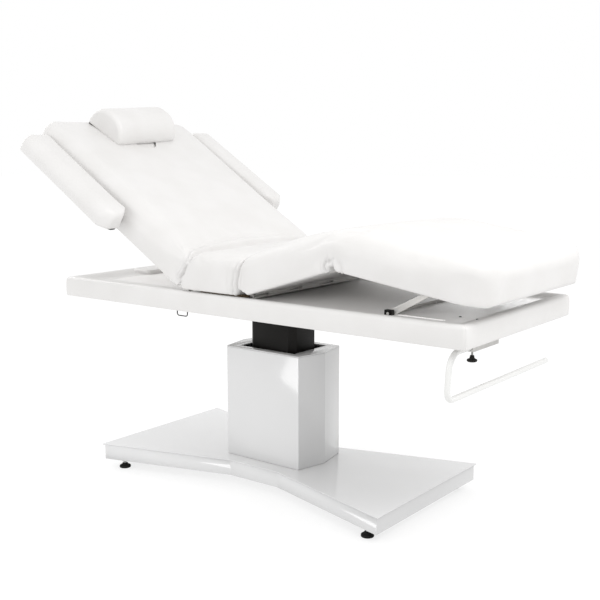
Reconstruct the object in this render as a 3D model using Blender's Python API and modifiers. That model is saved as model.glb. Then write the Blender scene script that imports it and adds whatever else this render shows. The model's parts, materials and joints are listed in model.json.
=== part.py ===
"""Electric facial treatment bed: a glossy hourglass base, a lifting column, an upholstered
bed frame and a padded top in four sections that fold.

Axes: +X towards the foot end, +Y towards the far side, +Z up. Metres and degrees. The
dimensions below are measured from the middle of the lifting column. The origin is on the
floor at the middle of the bed's length as it stands, a little nearer to the foot end.

Every tilting section is built lying flat and hangs from an empty on its hinge axis. The
empty is then turned, so that the bed stands with its back and its legs raised.
"""

import math

import bmesh
import bpy
from mathutils import Matrix, Vector

# ---------------------------------------------------------------- driving dimensions
GAP = 0.0003  # clearance between touching pieces
MIDDLE_X = 0.0242  # from the column to the middle of the bed's length

# base
BASE_HALF_LENGTH = 0.610
BASE_HALF_WIDTH = 0.320
BASE_WAIST_HALF_LENGTH = 0.107  # the straight middle of each notched long side
BASE_NOTCH = 0.145
BASE_OVERHANG = 0.007
BASE_PLATE = 0.005
BASE_TOP = 0.091
BASE_BOTTOM = 0.032
SHEET = 0.003
FOOT_X = 0.543
FOOT_Y = 0.270
FOOT_RADIUS = 0.021

# lifting column
COVER_HALF_LENGTH = 0.160
COVER_HALF_WIDTH = 0.120
COVER_RIDGE = 0.025  # how far the middle of each end face stands out
COVER_TOP = 0.489
COVER_OPENING = (0.122, 0.092)  # half sizes
OUTER_TUBE = (0.112, 0.084)
INNER_TUBE = (0.101, 0.073)
TUBE_WALL = 0.004
TUBE_CHAMFER = 0.022
INNER_TUBE_BOTTOM = 0.250

# bed frame
FRAME_HEAD = -0.740
FRAME_FOOT = 0.908
FRAME_HALF_WIDTH = 0.360
FRAME_BOTTOM = 0.645
FRAME_TOP = 0.716
APRON = 0.025
PANEL_TOP = 0.700
PANEL = 0.012
LADDER_BOTTOM = 0.6535
LADDER_TOP = 0.6875

# padded sections, lying flat
UNDERSIDE = 0.7185
BOARD = 0.015
FOAM = 0.111
PAD_HALF_WIDTH = 0.355
AXIS_DROP = 0.009  # the hinge axes lie this far below the boards
AXIS_Z = UNDERSIDE - AXIS_DROP
BACKREST_X = -0.168
BACKREST_LENGTH = 0.885
THIGH_X = 0.118
THIGH_LENGTH = 0.360
KNEE_X = THIGH_X + THIGH_LENGTH
CALF_LENGTH = 0.487

# angles as the bed stands, and how each section follows
BACKREST_ANGLE = 32.4
BACKREST_MAX = 65.0
SEAT_HEAD_LEAN = 28.0
BACKREST_END_LEAN = BACKREST_MAX - SEAT_HEAD_LEAN + 2.0
THIGH_ANGLE = 17.5
THIGH_MAX = 30.0
THIGH_END_LEAN = THIGH_MAX + 1.0
KNEE_RATIO = 1.467
STRUT_RATIO = 1.52
STRUT_FLAT_ANGLE = 1.6

# leg strut, between a pivot on the frame and a slotted bracket under the calf board
STRUT_X = 0.608
STRUT_Z = 0.705
STRUT_LENGTH = 0.152
STRUT_Y = 0.250
STRUT_HEIGHT = 0.020
STRUT_THICKNESS = 0.006
PIVOT_RADIUS = 0.0045
PIN_RADIUS = 0.005
SLOT_START = 0.2817  # distance from the knee axis at which the pin runs in the slot
SLOT_END = 0.2908
SLOT_HEIGHT = -0.0011  # above the knee axis, at SLOT_MIDDLE
SLOT_MIDDLE = 0.285
SLOT_SLOPE = -0.287

# levers that the actuators pull, and the angle at which each hangs straight down
BACKREST_LEVER = 0.050
BACKREST_LEVER_MIDDLE = 32.5
LEG_LEVER = 0.032
LEG_LEVER_MIDDLE = 24.4
LEVER_PIN_RADIUS = 0.004

# loose pads
ARM_START = 0.302
ARM_END = 0.812
ARM_OUTER = 0.475
ARM_BOTTOM = 0.034  # above the underside of the backrest
ARM_TOP = 0.102
ARM_ROD_AT = (0.470, 0.680)
ARM_ROD_HEIGHT = 0.0265
ARM_ROD_RADIUS = 0.007
PILLOW_LENGTH = 0.340
PILLOW_DEPTH = 0.180
PILLOW_HEIGHT = 0.092
PILLOW_AT = 0.772
PILLOW_TURN = 6.0  # the loose pillow lies a little askew
FACE_HOLE_AT = 0.747
FACE_HOLE = (0.090, 0.070)  # half sizes, along and across

# paper roll holder under the foot end
ROLL_X = 0.858
ROLL_RADIUS = 0.009
ROLL_DROP = 0.132
ROLL_CHANNEL_Y = (-0.240, -0.080)
KNOB_Y = -0.222

TREATMENT_BED = "treatment_bed"


# ---------------------------------------------------------------- scene and materials
def clear_scene():
    for obj in list(bpy.data.objects):
        bpy.data.objects.remove(obj, do_unlink=True)


def new_collection(name):
    collection = bpy.data.collections.new(name)
    bpy.context.scene.collection.children.link(collection)
    return collection


def material(name, color, roughness, metallic=0.0):
    made = bpy.data.materials.new(name)
    made.use_nodes = True
    shader = made.node_tree.nodes["Principled BSDF"]
    shader.inputs["Base Color"].default_value = (*color, 1.0)
    shader.inputs["Roughness"].default_value = roughness
    shader.inputs["Metallic"].default_value = metallic
    return made


clear_scene()
PARTS = new_collection(TREATMENT_BED)
CUTTERS = new_collection("cutters")
WHITE_GLOSS = material("white_gloss", (0.86, 0.86, 0.86), 0.12, 0.1)
BLACK_METAL = material("black_metal", (0.025, 0.024, 0.023), 0.35, 0.4)
GREY_STEEL = material("grey_steel", (0.55, 0.55, 0.54), 0.4, 0.8)
WHITE_TUBE = material("white_tube", (0.82, 0.82, 0.80), 0.3, 0.1)
VINYL = material("white_vinyl", (0.87, 0.87, 0.85), 0.5)
FOAM_CORE = material("foam_core", (0.88, 0.87, 0.85), 0.6)
WOOD = material("plywood", (0.55, 0.42, 0.28), 0.65)
PLASTIC = material("black_plastic", (0.03, 0.03, 0.03), 0.45)
RUBBER = material("black_rubber", (0.02, 0.02, 0.02), 0.85)


# ---------------------------------------------------------------- bodies that move
class Body:
    """An empty on a joint's axis. Pieces are given in the flat bed's coordinates."""

    def __init__(self, name, pivot, parent=None, angle=0.0):
        self.pivot = Vector(pivot)
        self.empty = bpy.data.objects.new(name, None)
        self.empty.empty_display_size = 0.05
        PARTS.objects.link(self.empty)
        self.empty.location = self.pivot
        if parent:
            self.empty.parent = parent.empty
            self.empty.location = self.pivot - parent.pivot
        else:
            self.empty.location.x -= MIDDLE_X
        self.empty.rotation_euler = (0.0, math.radians(angle), 0.0)


BASE = Body("base_frame_empty", (0, 0, 0))
BED = Body("column_lift_axis", (0, 0, FRAME_BOTTOM))
BACKREST = Body("backrest_axis", (BACKREST_X, 0, AXIS_Z), BED, BACKREST_ANGLE)
THIGH = Body("thigh_axis", (THIGH_X, 0, AXIS_Z), BED, -THIGH_ANGLE)
CALF = Body("knee_axis", (KNEE_X, 0, AXIS_Z), THIGH, KNEE_RATIO * THIGH_ANGLE)
STRUT = Body("strut_axis", (STRUT_X, 0, STRUT_Z), BED, -STRUT_RATIO * THIGH_ANGLE)


# ---------------------------------------------------------------- modelling helpers
def add(name, mesh, mat, centre, body, cutter=False):
    """An object whose mesh is centred on its own origin, placed at centre on a body."""
    obj = bpy.data.objects.new(name, mesh)
    mesh.materials.append(mat)
    (CUTTERS if cutter else PARTS).objects.link(obj)
    obj.parent = body.empty
    obj.location = Vector(centre) - body.pivot
    if cutter:
        obj.hide_render = True
        obj.display_type = "WIRE"
    return obj


def box(name, low, high, mat, body, cutter=False, bevel=0.0, segments=2):
    size = [b - a for a, b in zip(low, high)]
    centre = [(a + b) / 2 for a, b in zip(low, high)]
    mesh = bpy.data.meshes.new(name)
    form = bmesh.new()
    bmesh.ops.create_cube(form, size=1.0, matrix=Matrix.Diagonal((*size, 1.0)))
    form.to_mesh(mesh)
    form.free()
    obj = add(name, mesh, mat, centre, body, cutter)
    if bevel:
        round_edges(obj, bevel, segments)
    return obj


def cylinder(name, start, end, radius, mat, body, cutter=False, sides=24, end_radius=None):
    start = Vector(start)
    along = Vector(end) - start
    mesh = bpy.data.meshes.new(name)
    form = bmesh.new()
    bmesh.ops.create_cone(
        form,
        cap_ends=True,
        segments=sides,
        radius1=radius,
        radius2=radius if end_radius is None else end_radius,
        depth=along.length,
    )
    form.to_mesh(mesh)
    form.free()
    smooth(mesh)
    obj = add(name, mesh, mat, start + along / 2, body, cutter)
    obj.rotation_mode = "QUATERNION"
    obj.rotation_quaternion = along.to_track_quat("Z", "Y")
    return obj


def smooth(mesh, angle=35):
    mesh.shade_smooth()
    mesh.set_sharp_from_angle(angle=math.radians(angle))


def round_edges(obj, width, segments=2, angle=30):
    modifier = obj.modifiers.new("rounded_edges", "BEVEL")
    modifier.width = width
    modifier.segments = segments
    modifier.limit_method = "ANGLE"
    modifier.angle_limit = math.radians(angle)


def round_top(obj, width, segments=3):
    """Rounds every edge except those round the flat underside."""
    form = bmesh.new()
    form.from_mesh(obj.data)
    low = min(vert.co.z for vert in form.verts)
    edges = [
        edge for edge in form.edges if max(vert.co.z for vert in edge.verts) > low + 0.001
    ]
    bmesh.ops.bevel(
        form, geom=edges, offset=width, segments=segments, profile=0.5, affect="EDGES"
    )
    form.to_mesh(obj.data)
    form.free()
    smooth(obj.data)


def boolean(obj, other, operation):
    modifier = obj.modifiers.new(other.name, "BOOLEAN")
    modifier.operation = operation
    modifier.object = other
    modifier.solver = "EXACT"
    other.hide_render = True
    other.display_type = "WIRE"
    if other.name in PARTS.objects:
        PARTS.objects.unlink(other)
        CUTTERS.objects.link(other)
    return obj


def cut(obj, *cutters):
    for cutter in cutters:
        boolean(obj, cutter, "DIFFERENCE")
    return obj


def join(obj, *others):
    for other in others:
        boolean(obj, other, "UNION")
    return obj


def outline(name, points, bottom, top, mat, body, cutter=False):
    """A flat outline in plan, extruded from bottom to top."""
    curve = bpy.data.curves.new(name, "CURVE")
    curve.dimensions = "2D"
    curve.fill_mode = "BOTH"
    curve.extrude = (top - bottom) / 2
    spline = curve.splines.new("POLY")
    spline.points.add(len(points) - 1)
    for point, (x, y) in zip(spline.points, points):
        point.co = (x, y, 0.0, 1.0)
    spline.use_cyclic_u = True
    return as_mesh(name, curve, mat, (0, 0, (bottom + top) / 2), body, cutter)


def side_outline(name, points, near, far, mat, body, cutter=False):
    """An outline in the side view, as (x, z) points, extruded across the bed."""
    curve = bpy.data.curves.new(name, "CURVE")
    curve.dimensions = "2D"
    curve.fill_mode = "BOTH"
    curve.extrude = (far - near) / 2
    spline = curve.splines.new("POLY")
    spline.points.add(len(points) - 1)
    for point, (x, z) in zip(spline.points, points):
        point.co = (x, z, 0.0, 1.0)
    spline.use_cyclic_u = True
    turn = Matrix.Rotation(math.radians(90), 4, "X")
    return as_mesh(name, curve, mat, (0, (near + far) / 2, 0), body, cutter, turn)


def as_mesh(name, curve, mat, centre, body, cutter, turn=None):
    """The curve as a welded mesh, so that it can be cut, joined and bevelled."""
    guide = bpy.data.objects.new(name + "_guide", curve)
    bpy.context.scene.collection.objects.link(guide)
    graph = bpy.context.evaluated_depsgraph_get()
    mesh = bpy.data.meshes.new_from_object(guide.evaluated_get(graph))
    bpy.data.objects.remove(guide, do_unlink=True)
    mesh.name = name
    form = bmesh.new()
    form.from_mesh(mesh)
    bmesh.ops.remove_doubles(form, verts=form.verts, dist=0.00001)
    bmesh.ops.dissolve_limit(
        form, angle_limit=0.001, verts=form.verts, edges=form.edges
    )
    bmesh.ops.recalc_face_normals(form, faces=form.faces)
    if turn:
        bmesh.ops.transform(form, matrix=turn, verts=form.verts)
    form.to_mesh(mesh)
    form.free()
    return add(name, mesh, mat, centre, body, cutter)


def tube(name, points, radius, mat, body, resolution=3):
    """A bent tube or wire through points that lie on straight runs and arcs."""
    curve = bpy.data.curves.new(name, "CURVE")
    curve.dimensions = "3D"
    curve.bevel_depth = radius
    curve.bevel_resolution = resolution
    curve.use_fill_caps = True
    spline = curve.splines.new("POLY")
    spline.points.add(len(points) - 1)
    for point, place in zip(spline.points, points):
        point.co = (*place, 1.0)
    spline.use_smooth = True
    curve.materials.append(mat)
    obj = bpy.data.objects.new(name, curve)
    PARTS.objects.link(obj)
    obj.parent = body.empty
    obj.location = -body.pivot
    return obj


def bend(corner, before, after, radius, steps=6):
    """The points of an arc that rounds a corner between two straight runs."""
    corner = Vector(corner)
    back = (Vector(before) - corner).normalized()
    ahead = (Vector(after) - corner).normalized()
    half = back.angle(ahead) / 2
    reach = radius / math.tan(half)
    centre = corner + (back + ahead).normalized() * radius / math.sin(half)
    first = corner + back * reach - centre
    turn = math.pi - 2 * half
    axis = (-back).cross(ahead)
    return [
        tuple(centre + Matrix.Rotation(turn * step / steps, 3, axis) @ first)
        for step in range(steps + 1)
    ]


# ---------------------------------------------------------------- base
def base_outline(inset):
    """The hourglass plan of the base, moved in by inset."""
    length = BASE_HALF_LENGTH - inset
    width = BASE_HALF_WIDTH - inset
    waist = BASE_WAIST_HALF_LENGTH
    notch = BASE_HALF_WIDTH - BASE_NOTCH - inset
    near = [(-length, -width), (-waist, -notch), (waist, -notch), (length, -width)]
    far = [(-x, -y) for x, y in near]
    return near + far


def make_base():
    plate = outline(
        "base_top_plate",
        base_outline(0.0),
        BASE_TOP - BASE_PLATE,
        BASE_TOP,
        WHITE_GLOSS,
        BASE,
    )
    round_edges(plate, 0.002, 1)
    top = BASE_TOP - BASE_PLATE - GAP
    body = outline(
        "base_body", base_outline(BASE_OVERHANG), BASE_BOTTOM, top, WHITE_GLOSS, BASE
    )
    hollow = outline(
        "base_body_hollow",
        base_outline(BASE_OVERHANG + SHEET),
        BASE_BOTTOM - 0.02,
        top - SHEET,
        WHITE_GLOSS,
        BASE,
        cutter=True,
    )
    cut(body, hollow)
    number = 0
    for x in (-FOOT_X, FOOT_X):
        for y in (-FOOT_Y, FOOT_Y):
            number += 1
            make_foot(number, x, y, top - SHEET - GAP)


def make_foot(number, x, y, top):
    """A levelling foot: a wide rubber-faced disc on a threaded stem."""
    body = Body(f"foot_{number}_axis", (x, y, 0), BASE)
    disc = cylinder(
        f"levelling_foot_{number}", (x, y, 0), (x, y, 0.009), FOOT_RADIUS, RUBBER, body
    )
    neck = cylinder(
        f"foot_{number}_neck", (x, y, 0.008), (x, y, 0.018), 0.013, RUBBER, body,
        end_radius=0.008,
    )
    stem = cylinder(
        f"foot_{number}_stem", (x, y, 0.015), (x, y, top), 0.005, RUBBER, body, sides=12
    )
    join(disc, neck, stem)


# ---------------------------------------------------------------- lifting column
def cover_outline(inset):
    """The column cover's plan: flat long sides, and ends that come to a low ridge."""
    length = COVER_HALF_LENGTH - inset
    width = COVER_HALF_WIDTH - inset
    ridge = length + COVER_RIDGE
    return [
        (-length, -width),
        (length, -width),
        (ridge, 0.0),
        (length, width),
        (-length, width),
        (-ridge, 0.0),
    ]


def tube_outline(half_length, half_width, chamfer):
    near = [
        (-half_length, -half_width + chamfer),
        (-half_length + chamfer, -half_width),
        (half_length - chamfer, -half_width),
        (half_length, -half_width + chamfer),
    ]
    return near + [(-x, -y) for x, y in near]


def make_column_tube(name, half_sizes, bottom, top, mat, body):
    """A rectangular tube with chamfered corners."""
    tube_body = outline(
        name, tube_outline(*half_sizes, TUBE_CHAMFER), bottom, top, mat, body
    )
    inner = [size - TUBE_WALL for size in half_sizes]
    bore = outline(
        name + "_bore",
        tube_outline(*inner, TUBE_CHAMFER - TUBE_WALL / 2),
        bottom - 0.01,
        top + 0.01,
        mat,
        body,
        cutter=True,
    )
    return cut(tube_body, bore)


def make_column():
    cap = 0.004
    cover_top = COVER_TOP - cap - GAP
    cover = outline(
        "column_cover", cover_outline(0.0), BASE_TOP + GAP, cover_top, WHITE_GLOSS, BASE
    )
    hollow = outline(
        "column_cover_hollow",
        cover_outline(SHEET),
        BASE_TOP - 0.01,
        cover_top + 0.01,
        WHITE_GLOSS,
        BASE,
        cutter=True,
    )
    cut(cover, hollow)
    lid = outline(
        "column_cover_cap", cover_outline(0.0), COVER_TOP - cap, COVER_TOP, WHITE_GLOSS, BASE
    )
    long, wide = COVER_OPENING
    opening = box(
        "cap_opening",
        (-long, -wide, COVER_TOP - 0.02),
        (long, wide, COVER_TOP + 0.02),
        WHITE_GLOSS,
        BASE,
        cutter=True,
    )
    cut(lid, opening)
    make_column_tube(
        "column_outer_tube", OUTER_TUBE, BASE_TOP + GAP, COVER_TOP - 0.030, BLACK_METAL, BASE
    )
    make_column_tube(
        "column_inner_tube", INNER_TUBE, INNER_TUBE_BOTTOM, FRAME_BOTTOM + 0.002,
        BLACK_METAL, BED,
    )
    plate_bottom = FRAME_BOTTOM + 0.002 + GAP
    box(
        "column_head_plate",
        (-0.125, -0.230, plate_bottom),
        (0.125, 0.230, LADDER_BOTTOM - GAP),
        GREY_STEEL,
        BED,
    )
    motor_top = BASE_TOP + 0.080
    motor = box(
        "lift_motor",
        (-0.055, -0.035, BASE_TOP + GAP),
        (0.040, 0.035, motor_top),
        PLASTIC,
        BASE,
        bevel=0.006,
    )
    sleeve = cylinder(
        "lift_motor_sleeve", (0, 0, motor_top - 0.01), (0, 0, 0.485), 0.018, PLASTIC, BASE
    )
    bore = cylinder(
        "lift_motor_bore", (0, 0, motor_top + 0.010), (0, 0, 0.500), 0.0125, PLASTIC, BASE,
        cutter=True,
    )
    cut(join(motor, sleeve), bore)
    cylinder(
        "lift_spindle_tube",
        (0, 0, 0.328),
        (0, 0, plate_bottom - GAP),
        0.0115,
        GREY_STEEL,
        BED,
    )


# ---------------------------------------------------------------- bed frame
def make_aprons():
    """The four padded side boards of the bed frame."""
    edge = 0.006
    inner = FRAME_HALF_WIDTH - APRON
    for name, side in (("near", -1), ("far", 1)):
        y = sorted((side * FRAME_HALF_WIDTH, side * inner))
        box(
            f"frame_apron_{name}",
            (FRAME_HEAD, y[0], FRAME_BOTTOM),
            (FRAME_FOOT, y[1], FRAME_TOP),
            VINYL,
            BED,
            bevel=edge,
        )
    across = inner - GAP
    for name, low, high in (
        ("head", FRAME_HEAD, FRAME_HEAD + APRON),
        ("foot", FRAME_FOOT - APRON, FRAME_FOOT),
    ):
        box(
            f"frame_apron_{name}",
            (low, -across, FRAME_BOTTOM),
            (high, across, FRAME_TOP),
            VINYL,
            BED,
        )


def make_panel():
    """The board inside the aprons, with slots for the levers and the leg struts."""
    inner = FRAME_HALF_WIDTH - APRON - GAP
    low = PANEL_TOP - PANEL
    panel = box(
        "frame_top_panel",
        (FRAME_HEAD + APRON + GAP, -inner, low),
        (FRAME_FOOT - APRON - GAP, inner, PANEL_TOP),
        VINYL,
        BED,
    )
    slots = [
        ("backrest_lever_slot", BACKREST_X - 0.032, BACKREST_X + 0.032, 0.0, 0.008),
        ("leg_lever_slot", STRUT_X - 0.024, STRUT_X + 0.024, 0.0, 0.008),
    ]
    for name, side in (("near", -1), ("far", 1)):
        slots.append(
            (f"strut_slot_{name}", STRUT_X - 0.016, STRUT_X + 0.175, side * STRUT_Y, 0.008)
        )
    for name, start, end, y, half in slots:
        slot = box(
            name,
            (start, y - half, low - 0.01),
            (end, y + half, PANEL_TOP + 0.01),
            VINYL,
            BED,
            cutter=True,
        )
        cut(panel, slot)


def make_ladder():
    """The welded ladder of pressed steel channels, open below, under the panel."""
    wall = 0.003
    half = 0.0125
    bars = [(-0.700, y - half, 0.870, y + half) for y in (-0.215, 0.215)]
    bars += [
        (x - half, -0.2155, x + half, 0.2155)
        for x in (-0.6875, -0.105, 0.240, 0.665, 0.8575)
    ]
    solids = []
    hollows = []
    for x0, y0, x1, y1 in bars:
        solids.append(box("ladder_bar", (x0, y0, LADDER_BOTTOM), (x1, y1, LADDER_TOP),
                          GREY_STEEL, BED))
        hollows.append(box("ladder_hollow", (x0 + wall, y0 + wall, LADDER_BOTTOM - 0.01),
                           (x1 - wall, y1 - wall, LADDER_TOP - wall), GREY_STEEL, BED,
                           cutter=True))
    ladder = solids[0]
    ladder.name = "frame_ladder"
    join(ladder, *solids[1:])
    cut(ladder, *hollows)


def make_frame_fittings():
    battens = []
    for y in (-0.280, 0.280):
        battens.append(
            box("seat_batten", (-0.115, y - 0.020, PANEL_TOP + GAP),
                (0.065, y + 0.020, UNDERSIDE - GAP), WOOD, BED)
        )
    crosspiece = box("seat_crosspiece", (-0.045, -0.290, PANEL_TOP + GAP),
                     (-0.005, 0.290, UNDERSIDE - GAP), WOOD, BED)
    battens[0].name = "seat_bearer"
    join(battens[0], battens[1], crosspiece)
    box("backrest_rest_pad", (-0.705, -0.060, PANEL_TOP + GAP),
        (-0.610, 0.140, UNDERSIDE - 0.001), VINYL, BED, bevel=0.005)
    box("control_box", (-0.215, 0.060, LADDER_BOTTOM + 0.002),
        (-0.135, 0.190, LADDER_TOP - 0.001), PLASTIC, BED, bevel=0.003, segments=1)
    hook = [(-0.186, -0.340), (-0.139, -0.340)]
    drop = FRAME_BOTTOM - 0.019
    top = FRAME_BOTTOM - GAP
    corners = [(hook[0][0], hook[0][1], drop), (hook[1][0], hook[1][1], drop)]
    starts = [(x, y, top) for x, y in hook]
    route = [starts[0]]
    route += bend(corners[0], starts[0], corners[1], 0.008, 4)
    route += bend(corners[1], corners[0], starts[1], 0.008, 4)
    route.append(starts[1])
    tube("hand_control_hook", route, 0.0018, GREY_STEEL, BED, resolution=2)


def make_roll_holder():
    """The square channel under the foot end, its clamp knob and the bent roll bar."""
    centre = FRAME_BOTTOM - 0.015
    top = FRAME_BOTTOM - GAP
    wall = 0.003
    reach = ROLL_RADIUS + 0.0008 + wall
    low_y, high_y = ROLL_CHANNEL_Y
    channel = box("roll_bar_channel", (ROLL_X - reach, low_y, centre - reach),
                  (ROLL_X + reach, high_y, top), GREY_STEEL, BED)
    bore = cylinder("channel_bore", (ROLL_X, low_y - 0.01, centre),
                    (ROLL_X, high_y + 0.01, centre), ROLL_RADIUS + 0.0008, GREY_STEEL,
                    BED, cutter=True)
    thread = cylinder("knob_hole", (ROLL_X, KNOB_Y, centre - 0.030),
                      (ROLL_X, KNOB_Y, centre - 0.004), 0.0036, GREY_STEEL, BED,
                      cutter=True, sides=12)
    cut(channel, bore, thread)
    knob_body = Body("clamp_knob_axis", (ROLL_X, KNOB_Y, centre), BED)
    under = centre - ROLL_RADIUS - GAP
    stem = cylinder("knob_stem", (ROLL_X, KNOB_Y, under), (ROLL_X, KNOB_Y, under - 0.016),
                    0.0032, PLASTIC, knob_body, sides=12)
    cone = cylinder("knob_cone", (ROLL_X, KNOB_Y, under - 0.012),
                    (ROLL_X, KNOB_Y, under - 0.028), 0.004, PLASTIC, knob_body,
                    end_radius=0.0075)
    head = cylinder("roll_clamp_knob", (ROLL_X, KNOB_Y, under - 0.026),
                    (ROLL_X, KNOB_Y, under - 0.036), 0.0155, PLASTIC, knob_body)
    round_edges(head, 0.003, 2)
    join(head, cone, stem)
    bar_body = Body("roll_bar_axis", (ROLL_X, 0, centre), BED)
    corner_x = ROLL_X
    start = (corner_x, -0.090, centre)
    upper = (corner_x, -0.352, centre)
    lower = (corner_x, -0.366, centre - ROLL_DROP)
    end = (corner_x, 0.300, centre - ROLL_DROP)
    route = [start]
    route += bend(upper, start, lower, 0.055, 8)
    route += bend(lower, upper, end, 0.028, 8)
    route.append(end)
    tube("roll_bar", route, ROLL_RADIUS, WHITE_TUBE, bar_body)


# ---------------------------------------------------------------- hinges
KNUCKLE_RADIUS = 0.005
HINGE_PIN = 0.0026
FIXED_KNUCKLES = ((-0.300, -0.240), (-0.120, -0.062), (0.062, 0.120), (0.240, 0.300))
MOVING_KNUCKLES = ((-0.236, -0.124), (-0.058, 0.058), (0.124, 0.236))
LEAF_GAP = 0.0125  # from the axis to the plate of each leaf
LEAF_LENGTH = 0.030


def hinge_leaf(name, x, side, knuckles, body):
    """A plate with its knuckles. side is +1 where the plate lies towards the foot."""
    top = AXIS_Z + AXIS_DROP - GAP
    ends = sorted((x + side * LEAF_GAP, x + side * (LEAF_GAP + LEAF_LENGTH)))
    leaf = box(name, (ends[0], -0.300, top - 0.0025), (ends[1], 0.300, top), GREY_STEEL, body)
    for low, high in knuckles:
        tab_ends = sorted((x, x + side * (LEAF_GAP + 0.002)))
        tab = box(name + "_tab", (tab_ends[0], low, AXIS_Z + 0.002),
                  (tab_ends[1], high, top - 0.0003), GREY_STEEL, body)
        knuckle = cylinder(name + "_knuckle", (x, low, AXIS_Z), (x, high, AXIS_Z),
                           KNUCKLE_RADIUS, GREY_STEEL, body, sides=16)
        join(leaf, tab, knuckle)
    return leaf


def make_hinge(name, x, fixed_side, fixed, moving):
    """A full-width hinge. Its pin is fixed in the knuckles of the first leaf."""
    first = hinge_leaf(f"{name}_fixed", x, fixed_side, FIXED_KNUCKLES, fixed)
    pin = cylinder(name + "_pin", (x, -0.302, AXIS_Z), (x, 0.302, AXIS_Z), HINGE_PIN,
                   GREY_STEEL, fixed, sides=16)
    join(first, pin)
    second = hinge_leaf(f"{name}_moving", x, -fixed_side, MOVING_KNUCKLES, moving)
    return second


def bore_hinge(leaf, name, x, body):
    bore = cylinder(name + "_bore", (x, -0.310, AXIS_Z), (x, 0.310, AXIS_Z),
                    HINGE_PIN + GAP, GREY_STEEL, body, cutter=True, sides=16)
    cut(leaf, bore)


# ---------------------------------------------------------------- padded sections
def pad_profile(start, end, start_lean, end_lean, bottom, top):
    """A section's side view, lying flat. The leans cut its ends back from the hinges."""
    rise = (bottom - AXIS_Z, top - AXIS_Z)
    return [
        (start + rise[0] * math.tan(math.radians(start_lean)), bottom),
        (end - rise[0] * math.tan(math.radians(end_lean)), bottom),
        (end - rise[1] * math.tan(math.radians(end_lean)), top),
        (start + rise[1] * math.tan(math.radians(start_lean)), top),
    ]


def make_section(name, start, end, start_lean, end_lean, body, inset=0.0005):
    """A plywood board with a thick foam pad on it. Returns the pad."""
    board_top = UNDERSIDE + BOARD
    half = PAD_HALF_WIDTH - 0.012
    profile = pad_profile(start + inset, end - inset, start_lean, end_lean,
                          UNDERSIDE, board_top)
    left = max(profile[0][0], profile[3][0])
    right = min(profile[1][0], profile[2][0])
    box(f"{name}_board", (left, -half, UNDERSIDE), (right, half, board_top), WOOD, body)
    pad = side_outline(
        f"{name}_cushion",
        pad_profile(start + inset, end - inset, start_lean, end_lean, board_top + GAP,
                    UNDERSIDE + BOARD + FOAM),
        -PAD_HALF_WIDTH, PAD_HALF_WIDTH, FOAM_CORE, body,
    )
    round_top(pad, 0.022)
    return pad


def oval(at, half_length, half_width, steps=24):
    return [
        (
            at + half_length * math.cos(2 * math.pi * step / steps),
            half_width * math.sin(2 * math.pi * step / steps),
        )
        for step in range(steps)
    ]


def make_seat():
    make_section("seat", BACKREST_X, THIGH_X, SEAT_HEAD_LEAN, 2.0, BED)


def make_backrest():
    head = BACKREST_X - BACKREST_LENGTH
    pad = make_section("backrest", head, BACKREST_X, 0.0, BACKREST_END_LEAN, BACKREST)
    board = bpy.data.objects["backrest_board"]
    at = BACKREST_X - FACE_HOLE_AT
    clearance = 0.001
    for piece in (pad, board):
        hole = outline(
            piece.name + "_face_hole",
            oval(at, FACE_HOLE[0] + clearance, FACE_HOLE[1] + clearance),
            UNDERSIDE - 0.02,
            UNDERSIDE + BOARD + FOAM + 0.02,
            WOOD,
            BACKREST,
            cutter=True,
        )
        cut(piece, hole)
    make_hinge("backrest_hinge", BACKREST_X, 1, BED, BACKREST)
    moving = bpy.data.objects["backrest_hinge_moving"]
    lever = make_lever("backrest_lever", (BACKREST_X, AXIS_Z), BACKREST_LEVER,
                       BACKREST_LEVER_MIDDLE, BACKREST)
    join(moving, *lever)
    bore_hinge(moving, "backrest_hinge", BACKREST_X, BACKREST)

    plug_body = Body("face_plug_axis", (at, 0, UNDERSIDE), BACKREST)
    plug = outline("face_hole_plug", oval(at, *FACE_HOLE), UNDERSIDE + 0.002,
                   UNDERSIDE + BOARD + FOAM, FOAM_CORE, plug_body)
    round_edges(plug, 0.006, 2, 60)

    top = UNDERSIDE + BOARD + FOAM + GAP
    pillow_body = Body("head_pillow_axis", (BACKREST_X - PILLOW_AT, 0, top), BACKREST)
    arch = [
        (
            BACKREST_X - PILLOW_AT + PILLOW_DEPTH / 2 * math.cos(angle),
            top + PILLOW_HEIGHT * math.sin(angle),
        )
        for angle in (math.pi * step / 12 for step in range(13))
    ]
    pillow = side_outline("head_pillow", arch, -PILLOW_LENGTH / 2, PILLOW_LENGTH / 2,
                          FOAM_CORE, pillow_body)
    round_edges(pillow, 0.016, 2, 60)
    centre = Vector((BACKREST_X - PILLOW_AT, 0, 0))
    askew = Matrix.Rotation(math.radians(PILLOW_TURN), 4, "Z")
    pillow.data.transform(
        Matrix.Translation(centre) @ askew @ Matrix.Translation(-centre)
    )
    for name, side in (("near", -1), ("far", 1)):
        make_armrest(name, side, pad)


def make_lever(name, pivot, length, middle, body):
    """A flat lever with a cross pin at its end. It hangs down when the body stands
    at the angle middle, and this is where it points when the body lies flat."""
    x, z = pivot
    sign = -1 if body is BACKREST else 1
    lean = math.radians(middle) * sign * -1
    tip = (x + length * math.sin(lean), z - length * math.cos(lean))
    width = 0.007
    across = (math.cos(lean) * width, math.sin(lean) * width)
    points = [
        (x - across[0], z - across[1]),
        (tip[0] - across[0], tip[1] - across[1]),
        (tip[0] + across[0], tip[1] + across[1]),
        (x + across[0], z + across[1]),
    ]
    arm = side_outline(name + "_arm", points, -0.004, 0.004, GREY_STEEL, body)
    eye = cylinder(name + "_eye", (tip[0], -0.004, tip[1]), (tip[0], 0.004, tip[1]),
                   0.0072, GREY_STEEL, body, sides=16)
    pin = cylinder(name + "_pin", (tip[0], -0.003, tip[1]), (tip[0], 0.0180, tip[1]),
                   LEVER_PIN_RADIUS, GREY_STEEL, body, sides=16)
    return arm, eye, pin


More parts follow.
